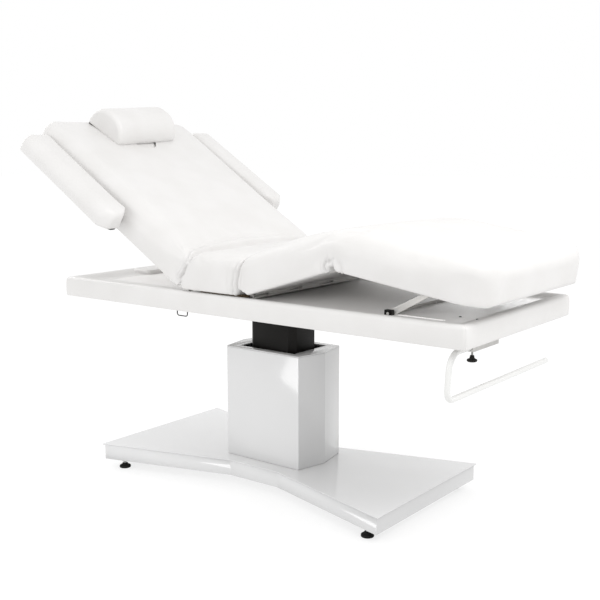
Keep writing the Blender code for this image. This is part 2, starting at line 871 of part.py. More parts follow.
def make_armrest(name, side, backrest_pad):
    """A thin pad on a board, carried by two rods that slide in sleeves in the backrest."""
    start, end = BACKREST_X - ARM_END, BACKREST_X - ARM_START
    inner, outer = PAD_HALF_WIDTH + 0.002, ARM_OUTER
    body = Body(f"armrest_{name}_axis", (start, side * inner, UNDERSIDE), BACKREST)
    low, high = sorted((side * inner, side * outer))
    board_low = UNDERSIDE + ARM_BOTTOM
    board_high = board_low + 0.010
    pad = outline(
        f"armrest_{name}_pad",
        chamfered(start, end, low, high, side),
        board_high + GAP,
        UNDERSIDE + ARM_TOP,
        FOAM_CORE,
        body,
    )
    round_edges(pad, 0.010, 2, 50)
    frame = box(f"armrest_{name}_frame", (start + 0.035, low + 0.012, board_low),
                (end - 0.035, high - 0.012, board_high), WOOD, body)
    z = UNDERSIDE + ARM_ROD_HEIGHT
    board_top = UNDERSIDE + BOARD + GAP
    strip_ends = sorted((side * 0.230, side * 0.270))
    first, last = BACKREST_X - ARM_ROD_AT[-1], BACKREST_X - ARM_ROD_AT[0]
    sleeves = box(f"armrest_sleeves_{name}", (first, strip_ends[0], board_top),
                  (last, strip_ends[1], board_top + 0.003), GREY_STEEL, BACKREST)
    groove = box(f"sleeve_strip_groove_{name}",
                 (first, strip_ends[0] - 0.001, board_top - 0.01),
                 (last, strip_ends[1] + 0.001, board_top + 0.004), GREY_STEEL, BACKREST,
                 cutter=True)
    for number, at in enumerate(ARM_ROD_AT, 1):
        x = BACKREST_X - at
        rod = cylinder(f"armrest_{name}_rod_{number}", (x, side * 0.205, z),
                       (x, side * (outer - 0.025), z), ARM_ROD_RADIUS, GREY_STEEL, body,
                       sides=16)
        lug_ends = sorted((side * (inner + 0.02), side * (outer - 0.03)))
        lug = box(f"armrest_{name}_lug_{number}", (x - 0.006, lug_ends[0], z),
                  (x + 0.006, lug_ends[1], board_low + 0.002), GREY_STEEL, body)
        join(frame, rod, lug)
        sleeve_ends = sorted((side * 0.195, side * (PAD_HALF_WIDTH - 0.004)))
        sleeve = box(f"armrest_sleeve_{name}_{number}",
                     (x - 0.0105, sleeve_ends[0], board_top),
                     (x + 0.0105, sleeve_ends[1], z + 0.0105), GREY_STEEL, BACKREST)
        join(sleeves, sleeve)
        groove_ends = sorted((side * 0.190, side * 0.400))
        channel = box(f"sleeve_groove_{name}_{number}",
                      (x - 0.0112, groove_ends[0], board_top - 0.011),
                      (x + 0.0112, groove_ends[1], z + 0.0112), GREY_STEEL, BACKREST,
                      cutter=True)
        join(groove, channel)
    cut(backrest_pad, groove)
    for at in ARM_ROD_AT:
        x = BACKREST_X - at
        bore = cylinder(f"sleeve_bore_{name}_{at}", (x, side * 0.150, z),
                        (x, side * 0.400, z), ARM_ROD_RADIUS + GAP, GREY_STEEL, BACKREST,
                        cutter=True, sides=16)
        cut(sleeves, bore)


def chamfered(start, end, low, high, side, cut_back=0.030):
    """An armrest's plan: the two corners towards the foot end are cut off."""
    return [
        (start + cut_back / 2, low),
        (end - cut_back, low),
        (end, low + cut_back),
        (end, high - cut_back),
        (end - cut_back, high),
        (start + cut_back / 2, high),
        (start, high - cut_back / 2),
        (start, low + cut_back / 2),
    ]


def make_legs():
    make_section("thigh", THIGH_X, KNEE_X, THIGH_END_LEAN, 0.0, THIGH, inset=0.001)
    make_section("calf", KNEE_X, KNEE_X + CALF_LENGTH, 0.0, 0.0, CALF, inset=0.001)
    make_hinge("thigh_hinge", THIGH_X, -1, BED, THIGH)
    bore_hinge(bpy.data.objects["thigh_hinge_moving"], "thigh_hinge", THIGH_X, THIGH)
    make_hinge("knee_hinge", KNEE_X, -1, THIGH, CALF)
    bore_hinge(bpy.data.objects["knee_hinge_moving"], "knee_hinge", KNEE_X, CALF)
    for name, side in (("near", -1), ("far", 1)):
        make_calf_bracket(name, side)
        make_strut(name, side)
    ends = STRUT_Y + 0.026
    shaft = cylinder("leg_lift_shaft", (STRUT_X, -ends, STRUT_Z), (STRUT_X, ends, STRUT_Z),
                     PIVOT_RADIUS, GREY_STEEL, STRUT, sides=16)
    lever = make_lever("leg_lever", (STRUT_X, STRUT_Z), LEG_LEVER,
                       LEG_LEVER_MIDDLE - STRUT_FLAT_ANGLE, STRUT)
    join(shaft, *lever)
    pin_x = STRUT_X + STRUT_LENGTH * math.cos(math.radians(STRUT_FLAT_ANGLE))
    pin_z = STRUT_Z + STRUT_LENGTH * math.sin(math.radians(STRUT_FLAT_ANGLE))
    reach = STRUT_Y + STRUT_THICKNESS / 2 + 0.001
    cylinder("strut_cross_pin", (pin_x, -reach, pin_z), (pin_x, reach, pin_z), PIN_RADIUS,
             GREY_STEEL, STRUT, sides=16)


def make_calf_bracket(name, side):
    """A plate under the calf board with a short sloping slot for the cross pin."""
    y = side * (STRUT_Y - STRUT_THICKNESS / 2 - 0.0035)
    thick = 0.004
    end = KNEE_X + SLOT_END + 0.022
    top = UNDERSIDE - GAP
    low = AXIS_Z - 0.0086
    profile = [
        (KNEE_X + 0.165, top),
        (KNEE_X + 0.165, top - 0.006),
        (KNEE_X + 0.250, low),
        (end, low),
        (end, top),
    ]
    plate = side_outline(f"calf_bracket_{name}", profile, y - thick / 2, y + thick / 2,
                         GREY_STEEL, CALF)
    slope = math.atan(SLOT_SLOPE)
    half = PIN_RADIUS + 0.0004
    length = (SLOT_END - SLOT_START) / math.cos(slope)
    middle = (SLOT_START + SLOT_END) / 2
    centre = (
        KNEE_X + middle,
        y,
        AXIS_Z + SLOT_HEIGHT + SLOT_SLOPE * (middle - SLOT_MIDDLE),
    )
    slot = box("slot", (-length / 2, -0.01, -half), (length / 2, 0.01, half), GREY_STEEL,
               CALF, cutter=True)
    slot.name = f"calf_slot_{name}"
    slot.location = Vector(centre) - CALF.pivot
    slot.rotation_euler = (0, -slope, 0)
    cut(plate, slot)
    for sign in (-1, 1):
        shift = sign * length / 2
        x = centre[0] + shift * math.cos(slope)
        z = centre[2] + shift * math.sin(slope)
        end_hole = cylinder(f"calf_slot_end_{name}", (x, y - 0.01, z), (x, y + 0.01, z),
                            half, GREY_STEEL, CALF, cutter=True, sides=20)
        cut(plate, end_hole)


def make_strut(name, side):
    """A flat bar with a round eye at each end, from the lift shaft to the cross pin."""
    lean = math.radians(STRUT_FLAT_ANGLE)
    along = Vector((math.cos(lean), 0, math.sin(lean)))
    up = Vector((-math.sin(lean), 0, math.cos(lean)))
    pivot = Vector((STRUT_X, side * STRUT_Y, STRUT_Z))
    tip = pivot + along * STRUT_LENGTH
    half = STRUT_HEIGHT / 2
    corners = [pivot - up * half, tip - up * 0.008, tip + up * 0.008, pivot + up * half]
    near = side * STRUT_Y - STRUT_THICKNESS / 2
    far = side * STRUT_Y + STRUT_THICKNESS / 2
    bar = side_outline(f"leg_strut_{name}", [(p.x, p.z) for p in corners], near, far,
                       GREY_STEEL, STRUT)
    for label, place, radius, hole in (
        ("pivot", pivot, half, PIVOT_RADIUS),
        ("tip", tip, 0.008, PIN_RADIUS),
    ):
        eye = cylinder(f"strut_{label}_eye_{name}", (place.x, near, place.z),
                       (place.x, far, place.z), radius, GREY_STEEL, STRUT, sides=20)
        join(bar, eye)
        bore = cylinder(f"strut_{label}_bore_{name}", (place.x, near - 0.01, place.z),
                        (place.x, far + 0.01, place.z), hole + GAP, GREY_STEEL, STRUT,
                        cutter=True, sides=16)
        cut(bar, bore)
    block_low, block_high = sorted((side * (STRUT_Y + 0.009), side * (STRUT_Y + 0.025)))
    block = box(f"strut_pivot_block_{name}",
                (STRUT_X - 0.012, block_low, PANEL_TOP + GAP),
                (STRUT_X + 0.012, block_high, STRUT_Z + 0.0105), GREY_STEEL, BED)
    hole = cylinder(f"pivot_block_hole_{name}", (STRUT_X, block_low - 0.01, STRUT_Z),
                    (STRUT_X, block_high + 0.01, STRUT_Z), PIVOT_RADIUS + GAP, GREY_STEEL,
                    BED, cutter=True, sides=16)
    groove = box(f"pivot_block_groove_{name}",
                 (STRUT_X - 0.003, block_low - 0.01, PANEL_TOP - 0.01),
                 (STRUT_X + 0.003, block_high + 0.01, STRUT_Z - 0.002), GREY_STEEL,
                 BED, cutter=True)
    cut(block, hole, groove)


# ---------------------------------------------------------------- actuators
def make_actuator(name, pin_x, pin_z, slot_half, sign):
    """A flat linear actuator in the frame. Its rod ends in a yoke with an upright slot,
    in which the lever's pin rides up and down as the rod slides along X. sign is the
    side of the lever, along X, on which the housing lies."""
    y = 0.0135
    bottom, top = LADDER_BOTTOM + 0.0005, LADDER_TOP - 0.0005
    middle = (bottom + top) / 2
    near_end = pin_x + sign * 0.115
    far_end = pin_x + sign * 0.330
    low, high = sorted((near_end, far_end))
    housing = box(f"{name}_actuator", (low, y - 0.032, bottom), (high, y + 0.032, top),
                  PLASTIC, BED, bevel=0.005)
    bore_ends = (near_end - sign * 0.02, near_end + sign * 0.080)
    bore = cylinder(f"{name}_actuator_bore", (bore_ends[0], y, middle),
                    (bore_ends[1], y, middle), 0.0095, PLASTIC, BED, cutter=True)
    cut(housing, bore)
    rod_body = Body(f"{name}_rod_axis", (pin_x, y, middle), BED)
    thick = 0.003
    yoke = box(f"{name}_actuator_rod", (pin_x - 0.013, y - thick, pin_z - slot_half[0]),
               (pin_x + 0.013, y + thick, pin_z + slot_half[1]), GREY_STEEL, rod_body)
    rod = cylinder(f"{name}_rod", (pin_x + sign * 0.010, y, middle),
                   (near_end + sign * 0.030, y, middle), 0.009, GREY_STEEL, rod_body)
    join(yoke, rod)
    half = LEVER_PIN_RADIUS + 0.0012
    slot = box(f"{name}_yoke_slot", (pin_x - half, y - 0.02, pin_z - slot_half[0] + 0.003),
               (pin_x + half, y + 0.0055, pin_z + slot_half[1] - 0.003), GREY_STEEL,
               rod_body, cutter=True)
    cut(yoke, slot)


def lever_pin(pivot, length, angle):
    """Where a lever's pin stands when the lever leans by angle from straight down."""
    lean = math.radians(angle)
    return pivot[0] + length * math.sin(lean), pivot[1] - length * math.cos(lean)


def make_actuators():
    lean = BACKREST_LEVER_MIDDLE - BACKREST_ANGLE
    x, z = lever_pin((BACKREST_X, AXIS_Z), BACKREST_LEVER, lean)
    make_actuator("backrest", x, z, (0.0075, 0.0160), -1)
    lean = STRUT_FLAT_ANGLE + STRUT_RATIO * THIGH_ANGLE - LEG_LEVER_MIDDLE
    x, z = lever_pin((STRUT_X, STRUT_Z), LEG_LEVER, lean)
    make_actuator("leg", x, z, (0.0100, 0.0120), -1)


make_base()
make_column()
make_aprons()
make_panel()
make_ladder()
make_frame_fittings()
make_roll_holder()
make_seat()
make_backrest()
make_legs()
make_actuators()
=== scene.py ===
"""The looks of an electric facial treatment bed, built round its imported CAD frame."""

import json
import math
from dataclasses import dataclass

import bmesh
import bpy
import numpy as np
from mathutils import Euler, Matrix, Vector, noise

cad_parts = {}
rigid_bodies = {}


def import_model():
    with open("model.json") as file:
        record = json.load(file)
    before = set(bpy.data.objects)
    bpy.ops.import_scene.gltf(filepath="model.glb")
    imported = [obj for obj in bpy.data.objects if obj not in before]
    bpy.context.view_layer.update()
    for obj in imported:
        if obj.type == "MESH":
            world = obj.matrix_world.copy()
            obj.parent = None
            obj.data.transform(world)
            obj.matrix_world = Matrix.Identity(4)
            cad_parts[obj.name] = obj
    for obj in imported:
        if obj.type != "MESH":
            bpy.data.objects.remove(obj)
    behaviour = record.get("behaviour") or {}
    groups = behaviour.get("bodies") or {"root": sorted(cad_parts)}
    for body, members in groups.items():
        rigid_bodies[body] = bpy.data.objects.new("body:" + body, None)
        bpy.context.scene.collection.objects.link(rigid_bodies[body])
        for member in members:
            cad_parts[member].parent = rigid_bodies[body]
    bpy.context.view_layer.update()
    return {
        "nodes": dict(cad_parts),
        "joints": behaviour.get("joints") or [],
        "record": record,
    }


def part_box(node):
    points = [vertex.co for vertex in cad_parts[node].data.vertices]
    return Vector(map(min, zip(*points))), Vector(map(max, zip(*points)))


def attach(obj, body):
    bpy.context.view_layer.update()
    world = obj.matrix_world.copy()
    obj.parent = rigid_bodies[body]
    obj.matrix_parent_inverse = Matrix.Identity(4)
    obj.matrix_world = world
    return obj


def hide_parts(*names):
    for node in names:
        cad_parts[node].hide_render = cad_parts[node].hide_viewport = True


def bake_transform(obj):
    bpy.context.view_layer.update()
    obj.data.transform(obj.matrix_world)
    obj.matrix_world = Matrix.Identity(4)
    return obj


for leftover in list(bpy.data.objects):
    bpy.data.objects.remove(leftover, do_unlink=True)

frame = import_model()
NODES = frame["nodes"]
JOINTS = {joint["name"]: joint for joint in frame["joints"]}

# ---------------------------------------------------------------- where things are
BACK_PIVOT = Vector(JOINTS["backrest_tilt"]["pos_m"])
THIGH_PIVOT = Vector(JOINTS["thigh_tilt"]["pos_m"])
KNEE_PIVOT = Vector(JOINTS["knee_fold"]["pos_m"])
COLUMN_X = (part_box("column_cover")[0].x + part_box("column_cover")[1].x) / 2
BACK_ANGLE = -math.radians(JOINTS["backrest_tilt"]["range_deg"][0])
THIGH_ANGLE = math.radians(JOINTS["thigh_tilt"]["range_deg"][0])
KNEE_RATIO = 1.467  # how far the knee folds for each degree of the thigh
CALF_ANGLE = THIGH_ANGLE * (1 - KNEE_RATIO)
BACK_LENGTH = 0.885
CALF_LENGTH = 0.487
BOARD_DROP = 0.009  # from the boards' undersides down to the hinge axes
UNDERSIDE = BACK_PIVOT.z + BOARD_DROP
PAD_HEIGHT = 0.126  # board and cushion together
HALF_WIDTH = 0.355


class Section:
    """The flat coordinates of a tilted section: s along it from its pivot, h above."""

    def __init__(self, pivot, angle):
        self.pivot = pivot
        self.angle = angle
        self.along = Vector((math.cos(angle), 0, -math.sin(angle)))
        self.up = Vector((math.sin(angle), 0, math.cos(angle)))

    def at(self, s, y=0.0, h=BOARD_DROP):
        return self.pivot + self.along * s + self.up * h + Vector((0, y, 0))


BACK = Section(BACK_PIVOT, BACK_ANGLE)
THIGH = Section(THIGH_PIVOT, THIGH_ANGLE)
CALF = Section(KNEE_PIVOT, CALF_ANGLE)


def smoothstep(value, low, high):
    t = min(max((value - low) / (high - low), 0.0), 1.0)
    return t * t * (3 - 2 * t)


def add_object(name, data):
    obj = bpy.data.objects.new(name, data)
    bpy.context.scene.collection.objects.link(obj)
    return obj


def add_mesh(name, points, faces, material):
    mesh = bpy.data.meshes.new(name)
    mesh.from_pydata([tuple(point) for point in points], [], faces)
    mesh.materials.append(material)
    mesh.shade_smooth()
    return add_object(name, mesh)


def sharpen(obj, degrees):
    obj.data.set_sharp_from_angle(angle=math.radians(degrees))


def turn_outwards(mesh, merge=0.0):
    """Faces a mesh's skin outwards, after merging the points that coincide."""
    form = bmesh.new()
    form.from_mesh(mesh)
    if merge:
        bmesh.ops.remove_doubles(form, verts=form.verts, dist=merge)
    bmesh.ops.recalc_face_normals(form, faces=form.faces)
    form.to_mesh(mesh)
    form.free()


def between_rings(rings, count):
    """The quads between rings of count points each."""
    faces = []
    for row in range(rings - 1):
        low, high = row * count, (row + 1) * count
        for number in range(count):
            after = (number + 1) % count
            faces.append((low + number, high + number, high + after, low + after))
    return faces


# ---------------------------------------------------------------- materials
class Nodes:
    """A short way to write a node tree."""

    def __init__(self, name):
        self.material = bpy.data.materials.new(name)
        self.material.use_nodes = True
        self.tree = self.material.node_tree
        self.shader = self.tree.nodes["Principled BSDF"]

    def add(self, kind, links=None, **settings):
        node = self.tree.nodes.new(kind)
        for key, value in settings.items():
            if key.startswith("in_"):
                name = key[3:].replace("_", " ")
                spots = [s for s in node.inputs if s.name.lower() == name.lower()]
                spots[0].default_value = value
            else:
                setattr(node, key, value)
        for name, source in (links or {}).items():
            self.tree.links.new(source, node.inputs[name])
        return node

    def set(self, **values):
        for key, value in values.items():
            spot = self.shader.inputs[key.replace("_", " ")]
            if isinstance(value, bpy.types.NodeSocket):
                self.tree.links.new(value, spot)
            else:
                spot.default_value = value

    def place(self):
        return self.add("ShaderNodeTexCoord").outputs["Object"]

    def noise(self, scale, detail=2.0, rough=0.5, vector=None):
        links = {"Vector": vector or self.place()}
        node = self.add(
            "ShaderNodeTexNoise", links, in_Scale=scale, in_Detail=detail, in_Roughness=rough
        )
        return node.outputs["Fac"]

    def cells(self, scale):
        node = self.add("ShaderNodeTexVoronoi", {"Vector": self.place()}, in_Scale=scale)
        return node.outputs["Distance"]

    def stretched(self, scale):
        """The object's coordinates, scaled along each axis."""
        node = self.add("ShaderNodeMapping", {"Vector": self.place()}, in_Scale=scale)
        return node.outputs["Vector"]

    def ramp(self, source, low, high, start=0.0, end=1.0):
        node = self.add(
            "ShaderNodeMapRange", {"Value": source},
            in_From_Min=start, in_From_Max=end, in_To_Min=low, in_To_Max=high,
        )
        return node.outputs["Result"]

    def mix(self, factor, first, second):
        node = self.add("ShaderNodeMix", data_type="RGBA")
        self.tree.links.new(factor, node.inputs["Factor"])
        node.inputs["A"].default_value = (*first, 1.0)
        node.inputs["B"].default_value = (*second, 1.0)
        return node.outputs["Result"]

    def tint(self, source, color, shade, start=0.3, end=0.7):
        """Goes from color to shade as source goes from start to end."""
        return self.mix(self.ramp(source, 0.0, 1.0, start, end), color, shade)

    def bump(self, height, strength, distance, onto=None):
        links = {"Height": height, "Normal": onto} if onto else {"Height": height}
        node = self.add("ShaderNodeBump", links, in_Strength=strength, in_Distance=distance)
        return node.outputs["Normal"]


def leather(name, color=(0.724, 0.714, 0.705), shade=(0.700, 0.689, 0.677)):
    """White upholstery vinyl: a fine pebbled grain with soft, broad unevenness."""
    m = Nodes(name)
    fine = m.noise(2600.0)
    pebbles = m.bump(fine, 0.10, 0.0003, m.bump(m.cells(1150.0), 0.22, 0.0005))
    m.set(
        Base_Color=m.tint(m.noise(9.0, 3.0), color, shade, 0.35, 0.65),
        Roughness=m.ramp(fine, 0.36, 0.48),
        Normal=m.bump(m.noise(55.0, 3.0), 0.12, 0.0016, pebbles),
        Sheen_Weight=0.04,
        Sheen_Roughness=0.5,
    )
    return m.material


def lacquer(name, color, shade, roughness=0.10, peel=0.04):
    """Glossy sprayed paint with a faint orange peel and a little dust."""
    m = Nodes(name)
    m.set(
        Base_Color=m.tint(m.noise(3.0), color, shade),
        Roughness=m.ramp(m.noise(180.0, 6.0, 0.7), roughness, roughness + 0.09, 0.35, 0.75),
        Normal=m.bump(m.noise(240.0, 1.0), peel, 0.0004),
        Coat_Weight=0.35,
        Coat_Roughness=0.06,
    )
    return m.material


def brushed(name, color, shade, roughness, metallic, stretch=(1.0, 1.0, 60.0), specular=0.5):
    """Metal with fine lines along one direction."""
    m = Nodes(name)
    streaks = m.noise(22.0, 5.0, 0.65, m.stretched(stretch))
    m.set(
        Base_Color=m.tint(streaks, color, shade),
        Roughness=m.ramp(streaks, roughness, roughness + 0.12, 0.3, 0.7),
        Normal=m.bump(streaks, 0.06, 0.0003),
        Metallic=metallic,
        Specular_IOR_Level=specular,
    )
    return m.material


def moulded(name, color, shade, roughness, bump=0.25):
    """Moulded plastic or rubber with a fine sparked texture."""
    m = Nodes(name)
    speck = m.noise(900.0, 3.0, 0.6)
    m.set(
        Base_Color=m.tint(m.noise(30.0, 3.0), color, shade),
        Roughness=m.ramp(speck, roughness - 0.06, roughness + 0.08),
        Normal=m.bump(speck, bump, 0.0003),
        Specular_IOR_Level=0.08,
    )
    return m.material


def plywood(name):
    m = Nodes(name)
    rings = m.noise(9.0, 6.0, 0.6, m.stretched((1.0, 14.0, 14.0)))
    m.set(
        Base_Color=m.tint(rings, (0.50, 0.37, 0.24), (0.36, 0.25, 0.15)),
        Roughness=m.ramp(rings, 0.55, 0.75),
        Normal=m.bump(rings, 0.2, 0.0006),
    )
    return m.material


def shadow_sheet_cloth(name):
    """Black non-woven cloth, for the dark sheet under the pillow that paints the shadow line at
    its edge.
    """
    m = Nodes(name)
    fibres = m.noise(1400.0, 4.0, 0.8)
    m.set(
        Base_Color=m.tint(fibres, (0.10, 0.09, 0.08), (0.05, 0.045, 0.04)),
        Roughness=m.ramp(fibres, 0.85, 0.98),
        Normal=m.bump(fibres, 0.5, 0.0006),
    )
    return m.material


VINYL = leather("white_vinyl_grain")
VINYL_FRAME = leather("white_vinyl_frame", (0.722, 0.713, 0.703), (0.700, 0.690, 0.678))
# Painted shade and painted light: one gloss white in two copies. The darker one on the column
# cover and base body makes their faces under the bed look shaded, and the lighter one on the
# base's top plate shows the light falling on it.
SHADED_WHITE_PAINT = lacquer("gloss_white_lacquer_painted_shade", (0.610, 0.610, 0.611), (0.588, 0.588, 0.589))
LIT_TOP_PAINT = lacquer("gloss_white_top_painted_light", (0.735, 0.735, 0.738), (0.715, 0.715, 0.718), 0.07)
TUBE_PAINT = lacquer("white_tube_enamel", (0.76, 0.76, 0.748), (0.745, 0.745, 0.733), 0.32, 0.01)
BLACK_PAINT = brushed(
    "black_anodised", (0.012, 0.011, 0.010), (0.008, 0.0075, 0.007), 0.30, 0.0, specular=0.12
)
STEEL = brushed("grey_steel", (0.60, 0.59, 0.57), (0.52, 0.51, 0.49), 0.38, 0.35, (60.0, 1.0, 1.0))
ZINC = brushed("zinc_plate", (0.52, 0.52, 0.51), (0.42, 0.42, 0.41), 0.30, 0.9, (1.0, 40.0, 1.0))
BLACK_PLASTIC = moulded("black_plastic_grain", (0.014, 0.013, 0.012), (0.022, 0.021, 0.020), 0.45)
RUBBER = moulded("black_rubber_matt", (0.010, 0.010, 0.010), (0.018, 0.018, 0.017), 0.7, 0.4)
PAINTED_SHADOW_CLOTH = shadow_sheet_cloth("black_cloth_painted_shadow")

FINISHES = {
    "gloss_white": SHADED_WHITE_PAINT,
    "black_paint": BLACK_PAINT,
    "grey_steel": STEEL,
    "white_tube": TUBE_PAINT,
    "white_vinyl": VINYL_FRAME,
    "white_panel": VINYL_FRAME,
    "padding": VINYL,
    "plywood": plywood("birch_plywood"),
    "black_plastic": BLACK_PLASTIC,
    "black_rubber": RUBBER,
}
OWN_FINISHES = {
    "hand_control_hook": BLACK_PLASTIC,
    "armrest_near_frame": BLACK_PLASTIC,
    "armrest_far_frame": BLACK_PLASTIC,
    "roll_bar_channel": STEEL,
    # the lighter copy of the gloss white: painted light on the base's top
    "base_top_plate": LIT_TOP_PAINT,
    "strut_pivot_block_near": BLACK_PAINT,
    "strut_pivot_block_far": BLACK_PAINT,
}
EDGE_ROUNDS = {
    0.0030: ("column_inner_tube",),
    0.0015: ("column_cover",),
    0.0012: ("base_top_plate",),
    0.0010: ("base_body", "frame_ladder"),
    0.0008: ("column_cover_cap", "column_outer_tube", "roll_bar_channel"),
    0.0006: ("column_head_plate", "leg_strut_near", "leg_strut_far"),
    0.0004: ("calf_bracket_near", "calf_bracket_far"),
}


def finish_cad():
    """Gives every CAD node its material, and the hard ones finely rounded edges."""
    slots = {s["node"]: s["material_slot"] for s in frame["record"]["subparts"]}
    for name, node in NODES.items():
        node.data.materials.clear()
        node.data.materials.append(OWN_FINISHES.get(name, FINISHES[slots[name]]))
    for width, names in EDGE_ROUNDS.items():
        for name in names:
            soften(NODES[name], width)


def soften(obj, width):
    """Welds a CAD mesh and gives its sharp edges a fine round."""
    obj.data.polygons.foreach_set("use_smooth", [True] * len(obj.data.polygons))
    weld = obj.modifiers.new("weld", "WELD")
    weld.merge_threshold = 0.00002
    bevel = obj.modifiers.new("edges", "BEVEL")
    bevel.width = width
    bevel.segments = 3
    bevel.limit_method = "ANGLE"
    bevel.angle_limit = math.radians(11)
    bevel.harden_normals = True


# ---------------------------------------------------------------- lofted pads
class Ring:
    """The points round a padded section, as (across, height) from -1 to 1 and 0 to 1."""

    def __init__(self, columns, rows):
        self.columns = columns
        self.rows = rows
        near = [(-1.0, h) for h in rows[:-1]]
        top = [(y, 1.0) for y in columns[:-1]]
        far = [(1.0, h) for h in reversed(rows[1:])]
        under = [(y, 0.0) for y in reversed(columns[1:])]
        self.points = near + top + far + under
        self.count = len(self.points)
        self.index = {point: number for number, point in enumerate(self.points)}


def edge_spaced(count, half, edge, fine):
    """From -1 to 1 across 2 * half metres, with finer steps within edge of each end."""
    steps = max(2, round(edge / fine))
    border = [-half + edge * step / steps for step in range(steps)]
    inner = np.linspace(-half + edge, half - edge, count).tolist()
    values = border + inner + [-value for value in reversed(border)]
    return [round(value / half, 9) for value in values]


def edge_rows(height, low, high, fine, middle):
    """From 0 to 1 up the side, finer at its lower and upper rounds."""
    low_steps, high_steps = max(1, round(low / fine)), max(1, round(high / fine))
    first = [low * step / low_steps for step in range(low_steps)]
    last = [height - high + high * step / high_steps for step in range(1, high_steps + 1)]
    inner = np.linspace(low, height - high, middle).tolist()
    return [round(value / height, 9) for value in first + inner + last]


def corner(a, b, radius):
    """Moves a point near a square corner onto a round one. a and b are the distances
    in from the two faces. Returns the new distances."""
    if a >= radius or b >= radius or radius <= 0:
        return a, b
    u, v = radius - a, radius - b
    length = math.hypot(u, v)
    if length < 1e-12:
        return a, b
    share = max(u, v) / length
    return radius - u * share, radius - v * share


@dataclass
class Station:
    """One cross-section: where its base is, which way is across and up, and its size."""

    base: Vector
    across: Vector
    up: Vector
    half: float
    height: float
    mark: float = 0.0
    rise: float = 0.0
    top: float = 0.028
    low: float = 0.009

    def top_radius(self, y):
        """The upper round, which may be given for the near and the far edge."""
        return self.top[y > 0] if isinstance(self.top, tuple) else self.top

    def point(self, spot, dent=None):
        """The point at (across, height) on this section. dent sinks it into the pad."""
        y = spot[0] * self.half
        z = self.rise + spot[1] * (self.height - self.rise)
        side = self.half - abs(y)
        radius = self.top_radius(y)
        a, b = corner(side, self.height - z, min(radius, self.height * 0.9, self.half))
        c, d = corner(a, z - self.rise, self.low)
        if d != z - self.rise or c != a:
            a = c
            z = self.rise + d
        else:
            z = self.height - b
        y = math.copysign(self.half - a, y) if abs(y) > 1e-9 else 0.0
        place = self.base + self.across * y + self.up * z
        depth = dent(self, y, z) if dent else 0.0
        return place + self.inward(y, z) * depth if depth else place

    def inward(self, y, z):
        """Roughly the direction into the pad from a point on its skin."""
        radius = self.top_radius(y)
        side = smoothstep(abs(y), self.half - radius, self.half)
        over = smoothstep(z, self.height - radius, self.height)
        way = self.across * (-math.copysign(side, y)) - self.up * over
        return way.normalized() if way.length > 1e-6 else Vector((0, 0, 0))


def loft(name, stations, ring, material, dent=None):
    """A closed pad through its stations, capped by a grid at each end."""
    points = []
    for station in stations:
        points += [station.point(spot, dent) for spot in ring.points]
    faces = between_rings(len(stations), ring.count)
    for row, flip in ((0, False), (len(stations) - 1, True)):
        faces += cap(points, row * ring.count, ring, flip)
    return add_mesh(name, points, faces, material)


def cap(points, first, ring, flip):
    """Fills one end with a grid. The grid's inner points lie between its sides."""
    spots = {spot: first + number for spot, number in ring.index.items()}

    def at(column, row):
        return Vector(points[spots[column, row]])

    for column in ring.columns[1:-1]:
        for row in ring.rows[1:-1]:
            near, far = at(-1.0, row), at(1.0, row)
            flat = near.lerp(far, (column + 1) / 2)
            share = (flat - near).length / max((far - near).length, 1e-9)
            lows = at(-1.0, 0.0).lerp(at(1.0, 0.0), share)
            highs = at(-1.0, 1.0).lerp(at(1.0, 1.0), share)
            flat += at(column, 0.0).lerp(at(column, 1.0), row) - lows.lerp(highs, row)
            spots[column, row] = len(points)
            points.append(flat)
    faces = []
    for left, right in zip(ring.columns, ring.columns[1:]):
        for low, high in zip(ring.rows, ring.rows[1:]):
            quad = (spots[left, low], spots[left, high], spots[right, high], spots[right, low])
            faces.append(quad[::-1] if flip else quad)
    return faces


CLOTH_FRAMES = 20
CLOTH = {
    "quality": 4,
    "mass": 0.25,
    "tension_stiffness": 18.0,
    "compression_stiffness": 18.0,
    "shear_stiffness": 9.0,
    "bending_stiffness": 2.0,
    "use_pressure": True,
    "uniform_pressure_force": 5.0,
    "vertex_group_mass": "grip",
}


def puff(obj, pins, most):
    """Blows a pad up with a cloth simulation, by most metres at the utmost. pins holds
    each point's grip."""
    group = obj.vertex_groups.new(name="grip")
    levels = {}
    for number, value in enumerate(pins):
        levels.setdefault(round(float(value), 2), []).append(number)
    for value, numbers in levels.items():
        if value > 0:
            group.add(numbers, value, "REPLACE")
    modifier = obj.modifiers.new("inflate", "CLOTH")
    for key, value in CLOTH.items():
        setattr(modifier.settings, key, value)
    modifier.settings.effector_weights.gravity = 0.0
    modifier.collision_settings.use_collision = False
    modifier.point_cache.frame_start = 1
    modifier.point_cache.frame_end = CLOTH_FRAMES
    rest = np.array([vertex.co for vertex in obj.data.vertices])
    scene = bpy.context.scene
    for number in range(1, CLOTH_FRAMES + 1):
        scene.frame_set(number)
    evaluated = obj.evaluated_get(bpy.context.evaluated_depsgraph_get())
    mesh = evaluated.to_mesh()
    blown = np.empty(len(rest) * 3)
    mesh.vertices.foreach_get("co", blown)
    evaluated.to_mesh_clear()
    moved = blown.reshape(-1, 3) - rest
    length = np.linalg.norm(moved, axis=1)
    share = np.where(length > 1e-9, most * np.tanh(length / most) / np.maximum(length, 1e-9), 0)
    obj.modifiers.remove(modifier)
    obj.vertex_groups.remove(group)
    obj.data.vertices.foreach_set("co", (rest + moved * share[:, None]).ravel())
    obj.data.update()
    scene.frame_set(1)


